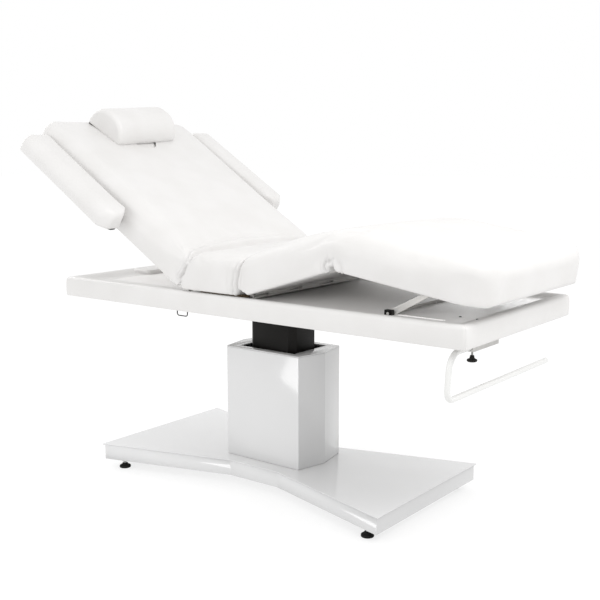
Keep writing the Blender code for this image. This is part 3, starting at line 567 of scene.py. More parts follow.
def puff_loose(pad, stations, ring, low, high, most):
    """Blows up a loose pad. Its grip goes as the height up its side goes from low to
    high, and its ends are half held."""
    pins = [1.0 if h == 0 else 1.0 - smoothstep(h, low, high) for _, h in ring.points]
    pins *= len(stations)
    pins += [0.5] * (len(pad.data.vertices) - len(pins))
    puff(pad, pins, most)


# ---------------------------------------------------------------- the mattress
def rounded_end(distance, radius):
    """How far a quarter round has drawn in at this distance from the end."""
    if distance >= radius:
        return 0.0
    return radius - math.sqrt(max(radius * radius - (radius - distance) ** 2, 0.0))


END_STEPS = (0.0, 0.0008, 0.0025, 0.0055, 0.010, 0.016, 0.023, 0.031, 0.041, 0.053, 0.067, 0.082)
ACROSS = Vector((0, 1, 0))
EDGE = 0.042  # the round of the mattress's upper edges
HEAD_CORNER, FOOT_CORNER = 0.070, 0.088  # the round of its corners seen from above
CALF_HALF = HALF_WIDTH - 0.001
BACK_CREASE = math.radians(27.0)  # how far the seat's crease with the backrest leans
THIGH_CREASE = math.radians(9.8)  # how far it leans at its crease with the thigh
THIGH_GATHER = math.radians(28.0)  # how far the thigh's own end leans there
KNEE_LEAN = math.radians(-4.7)  # the lean shared by both sides of the knee
# A station's mark is its distance along from the back crease at 0, from the thigh crease
# at 1 or from the knee at 2. The folds are placed by it. The two ends have none.
HEAD_MARK, THIGH_MARK, KNEE_MARK, FOOT_MARK = -9.0, 1.0, 2.0, 9.0


def lean(angle):
    return Vector((math.sin(angle), 0, math.cos(angle)))


def end_station(section, s, distance, half, mark, plan):
    """A station near a free end, drawn in by the round of its corners and edges."""
    height = PAD_HEIGHT - rounded_end(distance, 0.050)
    return Station(
        section.at(s), ACROSS, section.up, half - rounded_end(distance, plan), height, mark,
        rounded_end(distance, 0.014), top=EDGE, low=0.010,
    )


def pad_station(base, up, height, mark, rise=0.0, half=HALF_WIDTH):
    return Station(base, ACROSS, up, half, height, mark, rise, top=EDGE)


def back_half(s):
    """The backrest is a little wider towards its head end."""
    return HALF_WIDTH + 0.014 * smoothstep(-s, 0.12, 0.75)


def back_stations():
    """The backrest from its head end down to where it is gathered against the seat, and
    the station at which its rigid piece ends."""
    head = -BACK_LENGTH
    made = [
        end_station(BACK, head + step, step, back_half(head + step), HEAD_MARK, HEAD_CORNER)
        for step in END_STEPS
    ]
    plain = np.arange(head + 0.096, -0.131, 0.0148)
    split = len(made) + len([s for s in plain if s <= -0.27])
    made += [pad_station(BACK.at(s), BACK.up, PAD_HEIGHT, s, half=back_half(s)) for s in plain]
    for s in np.arange(-0.126, -0.0085, 0.0038):
        bend = math.radians(-2.5) * smoothstep(s, -0.10, -0.01)
        height = PAD_HEIGHT + 0.002 * smoothstep(s, -0.10, -0.03)
        rise = 0.012 * smoothstep(s, -0.022, -0.008)
        made.append(pad_station(BACK.at(s), lean(BACK_ANGLE + bend), height, s, rise))
    return made, split


def seat_stations():
    """The seat, from its crease with the backrest to its crease with the thigh."""
    made = []
    start = BACK_PIVOT.x + 0.006
    for x in [0.0, 0.0016, 0.0036, 0.0060, *np.arange(0.009, 0.118, 0.0058)]:
        angle = BACK_CREASE * (1 - smoothstep(x, -0.01, 0.125))
        drop = 0.008 * (1 - smoothstep(x, -0.004, 0.030))
        rise = 0.012 * (1 - smoothstep(x, 0.0, 0.006))
        base = Vector((start + x, 0, UNDERSIDE))
        height = (PAD_HEIGHT - drop) / math.cos(angle)
        made.append(pad_station(base, lean(angle), height, 0.001 + x, rise))
    split = len(made) - 1
    first = start + 0.118
    last = COLUMN_X + 0.0915
    for x in [*np.arange(first + 0.006, last - 0.004, 0.0058), last - 0.003, last]:
        angle = THIGH_CREASE * smoothstep(x, first, last)
        drop = 0.003 * smoothstep(x, last - 0.030, last)
        rise = 0.026 * smoothstep(x, last - 0.005, last + 0.001)
        height = (PAD_HEIGHT - drop) / math.cos(angle)
        made.append(
            pad_station(Vector((x, 0, UNDERSIDE)), lean(angle), height,
                        THIGH_MARK + x - last, rise)
        )
    return made, split


def thigh_stations():
    made = []
    spots = [*np.arange(-0.027, 0.060, 0.0040), *np.arange(0.062, 0.245, 0.0135)]
    for s in spots:
        rest = THIGH_GATHER * (1 - smoothstep(s, -0.040, 0.085))
        drop = 0.005 * (1 - smoothstep(s, -0.03, 0.01))
        rise = max(0.0, 0.030 * (0.021 - s) / 0.048)
        height = (PAD_HEIGHT - drop) / math.cos(rest)
        made.append(
            pad_station(THIGH.at(s), lean(THIGH_ANGLE + rest), height,
                        THIGH_MARK + s + 0.0275, rise)
        )
    return made, len([s for s in spots if s <= 0.17])


def knee_stations():
    """Both sides of the knee, leaning evenly towards its middle."""
    made = []
    for s in [0.248, 0.258, 0.268, 0.278, 0.288, *np.arange(0.296, 0.3525, 0.0035), 0.3548]:
        angle = THIGH_ANGLE + (KNEE_LEAN - THIGH_ANGLE) * smoothstep(s, 0.23, 0.372)
        height = PAD_HEIGHT - 0.006 * smoothstep(s, 0.25, 0.36)
        rise = 0.015 * math.exp(-(((s - 0.357) / 0.0060) ** 2))
        made.append(pad_station(THIGH.at(s), lean(angle), height, KNEE_MARK + s - 0.360, rise))
    for s in [0.0035, *np.arange(0.0065, 0.062, 0.0035), *np.arange(0.068, 0.112, 0.008)]:
        angle = CALF_ANGLE + (KNEE_LEAN - CALF_ANGLE) * (1 - smoothstep(s, -0.012, 0.12))
        height = PAD_HEIGHT - 0.006 * (1 - smoothstep(s, 0.0, 0.10))
        rise = 0.015 * math.exp(-(((s - 0.002) / 0.0060) ** 2))
        made.append(
            pad_station(CALF.at(s), lean(angle), height, KNEE_MARK + s, rise, CALF_HALF)
        )
    return made


def calf_stations():
    made = []
    for s in np.arange(0.120, CALF_LENGTH - 0.088, 0.0145):
        half = CALF_HALF + 0.001 * smoothstep(s, 0.1, 0.4)
        made.append(pad_station(CALF.at(s), CALF.up, PAD_HEIGHT, FOOT_MARK, half=half))
    for step in reversed(END_STEPS):
        made.append(
            end_station(CALF, CALF_LENGTH + 0.008 - step, step, HALF_WIDTH, FOOT_MARK,
                        FOOT_CORNER)
        )
    return made


def mattress_stations():
    """All the sections of the padded top from the head end to the foot end, and the
    numbers of the ones at which it is split between bodies."""
    made, first = back_stations()
    seat, second = seat_stations()
    second += len(made)
    made += seat
    thigh, third = thigh_stations()
    third += len(made)
    made += thigh + knee_stations() + calf_stations()
    return made, [first, second, third]


# Where each fold runs: how far it has drifted from its mark at each distance q, counted
# up the flank from the bottom edge and then inwards over the top. Then its width, its
# depth on the flank and on the top, and the q at which it has died away.
BACK_FOLDS = (
    (((0, 0.004), (0.030, -0.019), (0.062, -0.014), (0.10, -0.006), (0.15, -0.013),
      (0.26, -0.024), (0.43, -0.030)), 0.0050, 0.0190, 0.0085, 1.6),
    (((0, -0.004), (0.035, -0.031), (0.07, -0.025), (0.11, -0.024), (0.16, -0.042),
      (0.27, -0.068), (0.43, -0.086)), 0.0052, 0.0075, 0.0085, 1.6),
    (((0, -0.008), (0.05, -0.024), (0.10, -0.015), (0.16, -0.028), (0.27, -0.046),
      (0.43, -0.058)), 0.0062, -0.0045, -0.0075, 1.6),
    (((0, -0.020), (0.04, -0.044), (0.08, -0.037), (0.12, -0.046), (0.18, -0.068),
      (0.28, -0.094), (0.43, -0.112)), 0.0062, 0.0034, 0.0036, 0.60),
    (((0, 0.012), (0.05, 0.004), (0.10, 0.012), (0.16, 0.018), (0.30, 0.030),
      (0.48, 0.040)), 0.0080, 0.0026, 0.0045, 0.46),
)
THIGH_FOLDS = (
    (((0, 1.002), (0.030, 0.995), (0.060, 0.991), (0.095, 0.997), (0.13, 1.004),
      (0.25, 1.010)), 0.0048, 0.0145, 0.0105, 0.26),
    (((0, 0.992), (0.030, 0.985), (0.060, 0.982), (0.095, 0.989), (0.13, 0.997),
      (0.25, 1.004)), 0.0045, -0.0044, -0.0034, 0.22),
    (((0, 0.983), (0.035, 0.975), (0.065, 0.973), (0.10, 0.980), (0.14, 0.990),
      (0.25, 0.999)), 0.0042, 0.0052, 0.0036, 0.20),
    (((0, 0.962), (0.04, 0.952), (0.08, 0.953), (0.12, 0.964), (0.25, 0.985)),
     0.0055, 0.0028, 0.0016, 0.15),
    (((0, 1.022), (0.035, 1.014), (0.07, 1.013), (0.11, 1.022), (0.25, 1.030)),
     0.0042, 0.0038, 0.0024, 0.15),
    (((0, 1.036), (0.035, 1.029), (0.07, 1.029), (0.11, 1.036), (0.25, 1.044)),
     0.0042, 0.0024, 0.0010, 0.12),
)


def along_path(path, q):
    """The value at q of a path of (q, value) pairs, with its corners eased."""
    for (low, first), (high, second) in zip(path, path[1:]):
        if q <= high:
            return first + (second - first) * smoothstep(q, low, high)
    return path[-1][1]


def creases(station, y, z):
    """How far the folds at the three bends sink a point of the skin."""
    mark = station.mark
    if mark < -0.19 or mark == FOOT_MARK:
        return 0.0
    flank = smoothstep(abs(y), station.half - 0.030, station.half - 0.004)
    q = max(z, 0.0) + station.half - abs(y)
    if mark > 1.5:
        return knee_folds(mark - KNEE_MARK, z) * flank
    depth = 0.0
    folds = BACK_FOLDS if mark < 0.5 else THIGH_FOLDS
    for number, (path, width, side, top, gone) in enumerate(folds):
        if q > gone:
            continue
        drift = noise.noise(Vector((q * 14.0, math.copysign(3.1, y), number * 7.3)))
        centre = along_path(path, q) + drift * 0.0035
        amount = (top * (1 - flank) + side * flank) * (1 - smoothstep(q, gone * 0.45, gone))
        spread = width * (1 + 1.1 * smoothstep(q, 0.07, 0.22))
        depth += amount * math.exp(-(((mark - centre) / spread) ** 2))
    return depth


def knee_folds(u, z):
    """The cover tucked under the knee: a rolled end, and a fold arching beside it."""
    roll = math.hypot((u + 0.0125) * 1.05, z - 0.019)
    arch = math.hypot(u - 0.004, (z - 0.006) * 0.9)
    depth = 0.0095 * math.exp(-(((roll - 0.0135) / 0.0034) ** 2))
    depth -= 0.0042 * math.exp(-((roll / 0.0078) ** 2))
    if u > 0.004:
        depth += 0.0060 * math.exp(-(((arch - 0.030) / 0.0052) ** 2))
    else:
        depth += 0.0036 * math.exp(-(((roll - 0.027) / 0.0048) ** 2))
    depth += 0.0060 * math.exp(-((u / 0.0045) ** 2)) * (1 - smoothstep(z, 0.012, 0.030))
    return depth


def make_mattress():
    """The padded top: simulated in one piece, then split between the bodies it bends
    between."""
    columns = edge_spaced(46, HALF_WIDTH, 0.046, 0.0052)
    rows = edge_rows(PAD_HEIGHT, 0.010, 0.046, 0.0052, 7)
    ring = Ring(columns, rows)
    stations, splits = mattress_stations()
    whole = loft("mattress", stations, ring, VINYL, creases)
    pins = []
    for number, station in enumerate(stations):
        from_end = (*END_STEPS, 1.0)[min(number, len(stations) - 1 - number, len(END_STEPS))]
        held = 1.0 - smoothstep(from_end, 0.02, 0.082)
        for y, h in ring.points:
            grip = max(held, 1.0 if h == 0.0 else 1.0 - smoothstep(h, 0.04, 0.22))
            sunk = creases(station, y * station.half, h * station.height)
            pins.append(max(grip, min(1.0, sunk / 0.003)))
    pins += [1.0] * (len(whole.data.vertices) - len(pins))
    puff(whole, pins, most=0.008)
    points = [vertex.co.copy() for vertex in whole.data.vertices]
    normals = {tuple(round(c, 6) for c in v.co): v.normal.copy() for v in whole.data.vertices}
    cuts = [0, *splits, len(stations) - 1]
    names = ("backrest_pad", "back_to_seat_pad", "seat_to_thigh_pad", "leg_pad")
    pieces = []
    for name, low, high in zip(names, cuts, cuts[1:]):
        pieces.append(mattress_piece(name, points, ring, low, high, cuts[-1]))
    cut_face_hole(pieces[0])
    for piece in pieces:
        match_normals(piece, normals)
    bpy.data.objects.remove(whole, do_unlink=True)
    return pieces


def mattress_piece(name, points, ring, low, high, last):
    """The stations from low to high, capped. The mattress's own ends keep its own caps."""
    count = ring.count
    made = [point.copy() for point in points[low * count : (high + 1) * count]]
    faces = between_rings(high - low + 1, count)
    size = (len(ring.columns) - 2) * (len(ring.rows) - 2)
    for row, flip, free, source in (
        (0, False, low == 0, len(points) - 2 * size),
        (high - low, True, high == last, len(points) - size),
    ):
        before = len(made)
        faces += cap(made, row * count, ring, flip)
        if free:
            made[before:] = [point.copy() for point in points[source : source + size]]
    return add_mesh(name, made, faces, VINYL)


def match_normals(obj, normals):
    """Gives a piece the undivided mattress's normals, so that no seam shows."""
    mesh = obj.data
    found = [normals.get(tuple(round(c, 6) for c in v.co)) for v in mesh.vertices]
    flat = {number for edge in mesh.edges if edge.use_edge_sharp for number in edge.vertices}
    chosen = [
        tuple(normal) if normal and number not in flat else (0.0, 0.0, 0.0)
        for number, normal in enumerate(found)
    ]
    mesh.normals_split_custom_set([chosen[loop.vertex_index] for loop in mesh.loops])


HOLE_CENTRE = -0.747
HOLE_HALF = (0.090, 0.070)  # along and across
OVAL_SIDES = 56


def oval(grow, height):
    """Points round the face hole's oval at a height above the backrest's axis plane."""
    return [
        BACK.at(
            HOLE_CENTRE + (HOLE_HALF[0] + grow) * math.cos(math.tau * n / OVAL_SIDES),
            (HOLE_HALF[1] + grow) * math.sin(math.tau * n / OVAL_SIDES),
            height,
        )
        for n in range(OVAL_SIDES)
    ]


def oval_solid(name, profile):
    """An oval pad from (grow, height) rings, closed at both ends."""
    points = [point for grow, height in profile for point in oval(grow, height)]
    # each quad counted from the same corner, but the other way round
    faces = [(a, d, c, b) for a, b, c, d in between_rings(len(profile), OVAL_SIDES)]
    faces.append(tuple(reversed(range(OVAL_SIDES))))
    faces.append(tuple(range(len(points) - OVAL_SIDES, len(points))))
    return add_mesh(name, points, faces, VINYL)


def cut_face_hole(pad):
    """Opens the face hole through the backrest's pad."""
    cutter = oval_solid("hole_cutter", [(0.0016, -0.02), (0.0016, 0.19)])
    modifier = pad.modifiers.new("hole", "BOOLEAN")
    modifier.operation = "DIFFERENCE"
    modifier.solver = "EXACT"
    modifier.object = cutter
    graph = bpy.context.evaluated_depsgraph_get()
    graph.update()
    mesh = bpy.data.meshes.new_from_object(pad.evaluated_get(graph))
    pad.modifiers.clear()
    pad.data = mesh
    mesh.shade_smooth()
    sharpen(pad, 55)
    bpy.data.objects.remove(cutter, do_unlink=True)


def make_face_plug():
    """The oval plug that fills the face hole, with a rounded welt at its top edge."""
    top = BOARD_DROP + PAD_HEIGHT + 0.0022
    low = BOARD_DROP + 0.002
    profile = [(-0.020, low), (-0.004, low), (-0.0012, low + 0.003), (0.0, low + 0.008)]
    profile += [(0.0, low + 0.02 + 0.0155 * step) for step in range(6)]
    profile += [
        (-0.008 + 0.008 * math.cos(turn), top - 0.008 + 0.008 * math.sin(turn))
        for turn in (math.radians(15 * step) for step in range(1, 6))
    ]
    profile += [(-0.010, top + 0.0002), (-0.022, top + 0.0010), (-0.040, top + 0.0016),
                (-0.058, top + 0.0018)]
    plug = oval_solid("face_plug_pad", profile)
    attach(plug, "face_plug")
    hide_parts("face_hole_plug")


def make_rest_pad():
    """The soft block on the frame that the backrest comes down on."""
    low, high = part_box("backrest_rest_pad")
    half, tall = (high.y - low.y) / 2, high.z - low.z - 0.0015
    stations = []
    span = high.x - low.x
    for step in np.linspace(0, 1, 21):
        x = low.x + span * (0.5 - 0.5 * math.cos(math.pi * step))
        near = min(x - low.x, high.x - x)
        draw = rounded_end(near, 0.020)
        drop = rounded_end(near, 0.008) * 0.8
        stations.append(
            Station(Vector((x, (low.y + high.y) / 2, low.z)), ACROSS, Vector((0, 0, 1)),
                    half - draw, tall - drop, top=0.0085, low=0.002)
        )
    ring = Ring(edge_spaced(12, half, 0.010, 0.0025), edge_rows(0.0157, 0.002, 0.009, 0.0025, 2))
    pad = loft("rest_block_pad", stations, ring, VINYL_FRAME)
    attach(pad, "bed_frame")
    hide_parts("backrest_rest_pad")


def attach_mattress(pieces):
    """Rides the backrest's piece on its body, and leaves the pieces that span the hinges fixed
    where they were made.
    """
    back, back_seat, seat_thigh, leg = pieces
    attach(back, "backrest")
    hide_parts("backrest_cushion", "backrest_board")
    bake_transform(back_seat)
    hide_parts("seat_cushion", "seat_board")
    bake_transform(seat_thigh)
    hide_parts("thigh_cushion", "thigh_board")
    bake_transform(leg)
    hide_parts("calf_cushion", "calf_board")


# ---------------------------------------------------------------- loose pads
def make_armrest(name, side):
    """A cushion with a deep round along its outer edge and its lower corners cut off,
    on a dark board that just shows at its ends."""
    start, end = -0.812, -0.302
    inner = back_half(-0.55) + 0.0035
    outer = 0.481
    middle, half = side * (inner + outer) / 2, (outer - inner) / 2
    bottom, tall = BOARD_DROP + (0.0345 if side < 0 else 0.0500), 0.0690
    rounds = (0.036, 0.012) if side < 0 else (0.012, 0.036)
    steps = sorted(
        [start + d for d in (0.0, 0.001, 0.0035, 0.008, 0.014, 0.022, 0.032)]
        + [end - d for d in (0.0, 0.001, 0.003, 0.007, 0.012, 0.018, 0.025, 0.033, 0.040)]
        + np.linspace(start + 0.045, end - 0.052, 34).tolist()
    )
    stations, board = [], []
    for s in steps:
        near_head, near_foot = s - start, end - s
        cut = max(0.0, 0.030 - near_foot * 0.9) + 0.3 * rounded_end(near_foot, 0.02)
        draw = max(cut, rounded_end(near_head, 0.026))
        drop = rounded_end(min(near_head, near_foot), 0.024)
        rise = rounded_end(min(near_head, near_foot), 0.010)
        stations.append(
            Station(BACK.at(s, middle, bottom), ACROSS, BACK.up, half - draw,
                    tall - drop, rise=rise, top=rounds, low=0.012)
        )
        board.append(
            Station(BACK.at(s * 0.992 - 0.0045, middle, bottom - 0.0010), ACROSS, BACK.up,
                    half - 0.016 - draw * 0.85, 0.0060, top=0.0012, low=0.0012)
        )
    ring = Ring(edge_spaced(8, half, 0.038, 0.0045), edge_rows(tall, 0.012, 0.038, 0.0045, 3))
    pad = loft(f"armrest_{name}_upholstery", stations, ring, VINYL)
    puff_loose(pad, stations, ring, 0.05, 0.35, most=0.003)
    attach(pad, f"armrest_{name}")
    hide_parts(f"armrest_{name}_pad")
    flat = Ring(edge_spaced(3, half, 0.004, 0.002), (0.0, 0.3, 0.7, 1.0))
    base = loft(f"armrest_{name}_base_board", board, flat, BLACK_PLASTIC)
    sharpen(base, 40)
    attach(base, f"armrest_{name}")


PILLOW_PLACE = -0.777  # its middle, along the backrest from the hinge
PILLOW_TURN = math.radians(6.0)


def make_pillow():
    """A half-round bolster lying a little askew across the head end, on a thin black base whose
    edge paints the shadow line under it.
    """
    centre = BACK.at(PILLOW_PLACE, 0, 0)
    turn = Matrix.Rotation(PILLOW_TURN, 3, BACK.up)
    across, along = turn @ ACROSS, turn @ -BACK.along
    half, height, length = 0.089, 0.090, 0.162
    floor = BOARD_DROP + PAD_HEIGHT + 0.0042
    steps = sorted(
        [side * (length - d) for side in (-1, 1)
         for d in (0.0, 0.0008, 0.0026, 0.0056, 0.010, 0.016, 0.024, 0.034)]
        + np.linspace(-length + 0.046, length - 0.046, 24).tolist()
    )
    stations, base = [], []
    for y in steps:
        away = length - abs(y)
        drop = rounded_end(away, 0.017)
        stations.append(
            Station(centre + across * y + BACK.up * floor, along, BACK.up,
                    half - drop * 0.8, height - drop, rise=rounded_end(away, 0.008) * 0.7,
                    top=0.082, low=0.010)
        )
        base.append(
            Station(centre + across * y * 0.965 - BACK.along * 0.004 + BACK.up * (floor - 0.0062),
                    along, BACK.up, half - 0.010, 0.0085, top=0.001, low=0.001)
        )
    ring = Ring(edge_spaced(5, half, 0.078, 0.008), edge_rows(0.09, 0.010, 0.074, 0.008, 2))
    pillow = loft("head_bolster", stations, ring, VINYL)
    puff_loose(pillow, stations, ring, 0.03, 0.25, most=0.005)
    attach(pillow, "head_pillow")
    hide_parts("head_pillow")
    # the black base shows as a dark line under the pillow's edge: painted shadow
    flat = Ring(edge_spaced(6, half, 0.004, 0.002), (0.0, 0.3, 0.7, 1.0))
    shadow_sole = loft("head_bolster_shadow_base", base, flat, PAINTED_SHADOW_CLOTH)
    sharpen(shadow_sole, 40)
    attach(shadow_sole, "head_pillow")


# ---------------------------------------------------------------- upholstered frame
RIM_FLAT = 0.020  # how far in from its outer face the rim is level
RIM_DROP = 0.0024  # how far its top lies below the side boards' tops
RIM_FOOT = 0.7007  # the height at which its slope meets the panel
RIM_CORNER = 0.012  # the round of its corners seen from above


def rim_height(inwards, top):
    """The height of the padded rim at this distance in from its outer face."""
    share = smoothstep(inwards, RIM_FLAT, 0.056)
    return top + (RIM_FOOT - top) * share


def rim_profile(bottom, top):
    """The rim's section as (outwards, z), from under the board, up and in to the panel."""
    profile = [(-0.024, bottom + 0.001), (-0.012, bottom + 0.0002), (-0.0035, bottom + 0.0004)]
    for step in range(5):
        turn = math.radians(90 * step / 4)
        profile.append((-0.004 + 0.004 * math.sin(turn), bottom + 0.004 - 0.004 * math.cos(turn)))
    for share in (0.2, 0.35, 0.5, 0.65, 0.8):
        z = bottom + 0.004 + (top - bottom - 0.018) * share
        profile.append((0.0015 * math.sin(math.pi * share), z))
    for step in range(8):
        turn = math.radians(90 * step / 7)
        profile.append((-0.014 + 0.014 * math.cos(turn), top - 0.014 + 0.014 * math.sin(turn)))
    for inwards in (RIM_FLAT, 0.025, *(0.026 + 0.030 * step / 8 for step in range(1, 9))):
        profile.append((-inwards, rim_height(inwards, top)))
    return profile + [(-0.061, RIM_FOOT - 0.0003), (-0.066, RIM_FOOT - 0.0006)]


def make_frame_cover():
    """The padded rim of the bed frame, its vinyl drawn tight over the side boards."""
    low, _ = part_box("frame_apron_near")
    _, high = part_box("frame_apron_far")
    profile = rim_profile(low.z, high.z - RIM_DROP)
    path = frame_path()
    points = []
    for number, (x_sign, y_sign, kind, share) in enumerate(path):
        near_head = 1.0 if x_sign < 0 else 0.0
        if kind == "x":
            near_head = 1 - smoothstep(low.x + (high.x - low.x) * share, -0.35, -0.12)
        for out, z in profile:
            seam = kind == "corner" and abs(share - 0.5) < 0.01
            wave = 0.0006 * noise.noise(Vector((number * 0.31, z * 30, 0)))
            if out < -0.03:
                wave *= 0.3
            # round the head end the slope down to the panel is about twice as wide
            away = -out + max(-RIM_FLAT - out, 0.0) * 1.15 * near_head
            radius = max(RIM_CORNER + out, 0.0006)
            inset = away + radius
            if seam and out > -0.012:
                radius -= 0.0014
            edge_x = high.x if x_sign > 0 else low.x
            edge_y = high.y if y_sign > 0 else low.y
            if kind == "corner":
                angle = math.radians(90 * share)
                x = edge_x - x_sign * (inset - radius * math.cos(angle))
                y = edge_y - y_sign * (inset - radius * math.sin(angle))
            elif kind == "x":
                x = low.x + inset + (high.x - low.x - 2 * inset) * share
                y = edge_y - y_sign * (away - wave)
            else:
                x = edge_x - x_sign * (away - wave)
                y = low.y + inset + (high.y - low.y - 2 * inset) * share
            points.append((x, y, z))
    rows, size = len(profile), len(points)
    ring = between_rings(len(path) + 1, rows)
    faces = [tuple(number % size for number in face) for face in ring]
    obj = add_mesh("frame_upholstery", points, faces, VINYL_FRAME)
    sharpen(obj, 50)
    turn_outwards(obj.data)
    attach(obj, "bed_frame")
    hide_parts("frame_apron_near", "frame_apron_far", "frame_apron_head", "frame_apron_foot")


def frame_path():
    """Round the frame: each long side, corner, end and corner in turn."""
    path = []
    steps = [step / 8 for step in range(9)]
    long = np.linspace(0, 1, 62)[1:-1]
    short = np.linspace(0, 1, 28)[1:-1]
    path += [(0, -1, "x", share) for share in long]
    path += [(1, -1, "corner", 1 - share) for share in steps]
    path += [(1, 0, "y", share) for share in short]
    path += [(1, 1, "corner", share) for share in steps]
    path += [(0, 1, "x", share) for share in long[::-1]]
    path += [(-1, 1, "corner", 1 - share) for share in steps]
    path += [(-1, 0, "y", share) for share in short[::-1]]
    path += [(-1, -1, "corner", share) for share in steps]
    return path


# ---------------------------------------------------------------- turned and bent pieces
def lathe(name, profile, centre, material, sides=48):
    """A turned piece about a vertical axis through centre. profile is (radius, z)."""
    cx, cy, cz = centre
    turns = [math.tau * side / sides for side in range(sides)]
    points = [
        (cx + radius * math.cos(turn), cy + radius * math.sin(turn), cz + z)
        for turn in turns
        for radius, z in profile
    ]
    rows = len(profile)
    faces = []
    for side in range(sides):
        low, after = side * rows, (side + 1) % sides * rows
        for row in range(rows - 1):
            faces.append((low + row, after + row, after + row + 1, low + row + 1))
    obj = add_mesh(name, points, faces, material)
    turn_outwards(obj.data, merge=0.00001)
    obj.data.shade_smooth()
    sharpen(obj, 40)
    return obj


def round_profile(points, radius, steps=4):
    """Rounds each inner corner of a (radius, z) profile."""
    made = [points[0]]
    for before, spot, after in zip(points, points[1:], points[2:]):
        p, a, b = Vector(spot), Vector(before), Vector(after)
        reach = min(radius, (a - p).length * 0.45, (b - p).length * 0.45)
        start, end = p + (a - p).normalized() * reach, p + (b - p).normalized() * reach
        for step in range(steps + 1):
            t = step / steps
            made.append(tuple(start.lerp(p, t).lerp(p.lerp(end, t), t)))
    made.append(points[-1])
    return made


def thread(radius, depth, start, pitch, steps):
    """The ridges and grooves of a threaded stem, as (radius, z)."""
    return [(radius - depth * (step % 2), start + pitch * step) for step in range(steps)]


def centre_line(name):
    """The middle of a CAD node in x and y, and its lowest and highest z."""
    low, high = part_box(name)
    return (low.x + high.x) / 2, (low.y + high.y) / 2, low.z, high.z


def make_feet():
    """Each levelling foot: a rubber disc, a threaded stem and its lock nut."""
    for number in (1, 2, 3, 4):
        x, y, _, high = centre_line(f"levelling_foot_{number}")
        disc = lathe(
            f"foot_{number}_disc",
            round_profile([(0, 0.0002), (0.0185, 0.0002), (0.0208, 0.0016), (0.0208, 0.0080),
                           (0.0180, 0.0098), (0.0125, 0.0104), (0.0105, 0.0165),
                           (0.0086, 0.0178), (0, 0.0178)], 0.0015),
            (x, y, 0), RUBBER,
        )
        stem = lathe(
            f"foot_{number}_stem",
            [(0, 0.017), (0.0049, 0.017), *thread(0.0049, 0.0006, 0.018, 0.0009, 24),
             (0.0049, 0.0402), (0.0049, high), (0, high)],
            (x, y, 0), ZINC, 24,
        )
        nut = lathe(
            f"foot_{number}_nut",
            round_profile([(0.0048, 0.0232), (0.0098, 0.0232), (0.0098, 0.0298),
                           (0.0048, 0.0298)], 0.0008, 2),
            (x, y, 0), ZINC, 6,
        )
        for piece in (disc, stem, nut):
            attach(piece, f"foot_{number}")
        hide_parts(f"levelling_foot_{number}")


def make_knob():
    """The moulded knob that clamps the roll bar, on its screw."""
    x, y, low, high = centre_line("roll_clamp_knob")
    tall = high - low
    knob = lathe(
        "clamp_knob_moulding",
        round_profile(
            [(0, 0.0), (0.010, 0.0004), (0.0138, 0.0018), (0.0153, 0.0046), (0.0144, 0.0078),
             (0.0102, 0.0096), (0.0078, 0.0112), (0.0066, 0.0150), (0.0060, 0.0190),
             (0.0050, 0.0200), (0, 0.0200)], 0.0020),
        (x, y, low), BLACK_PLASTIC,
    )
    stem = lathe(
        "clamp_knob_thread",
        [(0, 0.0195), (0.0030, 0.0195), *thread(0.0031, 0.0005, 0.0202, 0.0007, 22),
         (0.0030, tall), (0, tall)],
        (x, y, low), ZINC, 20,
    )
    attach(stem, "clamp_knob")
    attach(knob, "clamp_knob")
    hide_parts("roll_clamp_knob")


def arc(spot, before, after, radius, steps=14):
    """The points of an arc that rounds the corner at spot."""
    spot, before, after = Vector(spot), Vector(before), Vector(after)
    back, ahead = (before - spot).normalized(), (after - spot).normalized()
    half = back.angle(ahead) / 2
    reach = radius / math.tan(half)
    centre = spot + (back + ahead).normalized() * radius / math.sin(half)
    first = spot + back * reach - centre
    axis = (-back).cross(ahead)
    turn = math.pi - 2 * half
    return [
        tuple(centre + Matrix.Rotation(turn * step / steps, 3, axis) @ first)
        for step in range(steps + 1)
    ]


ROLL_BAR_DROP = 0.132  # from the bar's upper arm down to its lower one
ROLL_BAR_RADIUS = 0.0088


def make_roll_bar():
    """The bent tube that a roll of paper slides onto, with a plug in each end."""
    x = centre_line("roll_bar")[0]
    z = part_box("roll_bar_channel")[0].z + 0.0128
    floor = z - ROLL_BAR_DROP
    start, upper = (x, -0.0895, z), (x, -0.352, z)
    lower, end = (x, -0.366, floor), (x, 0.2985, floor)
    route = [start, (x, -0.2, z)]
    route += arc(upper, start, lower, 0.055)
    route += arc(lower, upper, end, 0.028)
    route += [(x, -0.1, floor), (x, 0.1, floor), end]
    curve = bpy.data.curves.new("roll_bar_tube", "CURVE")
    curve.dimensions = "3D"
    curve.bevel_depth = ROLL_BAR_RADIUS
    curve.bevel_resolution = 8
    curve.use_fill_caps = True
    spline = curve.splines.new("POLY")
    spline.points.add(len(route) - 1)
    for point, place in zip(spline.points, route):
        point.co = (*place, 1.0)
    spline.use_smooth = True
    curve.materials.append(TUBE_PAINT)
    bar = add_object("roll_bar_tube", curve)
    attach(bar, "roll_bar")
    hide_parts("roll_bar")
    for name, place, sign in (("lower", end, 1), ("upper", start, -1)):
        plug = lathe(
            f"roll_bar_end_{name}",
            [(0, 0.0016), (0.0040, 0.0014), (0.0068, 0.0008), (0.0082, -0.0004),
             (0.0082, -0.0020), (0, -0.0020)],
            (0, 0, 0), TUBE_PAINT, 32,
        )
        plug.rotation_euler = (-sign * math.pi / 2, 0, 0)
        plug.location = place
        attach(plug, "roll_bar")


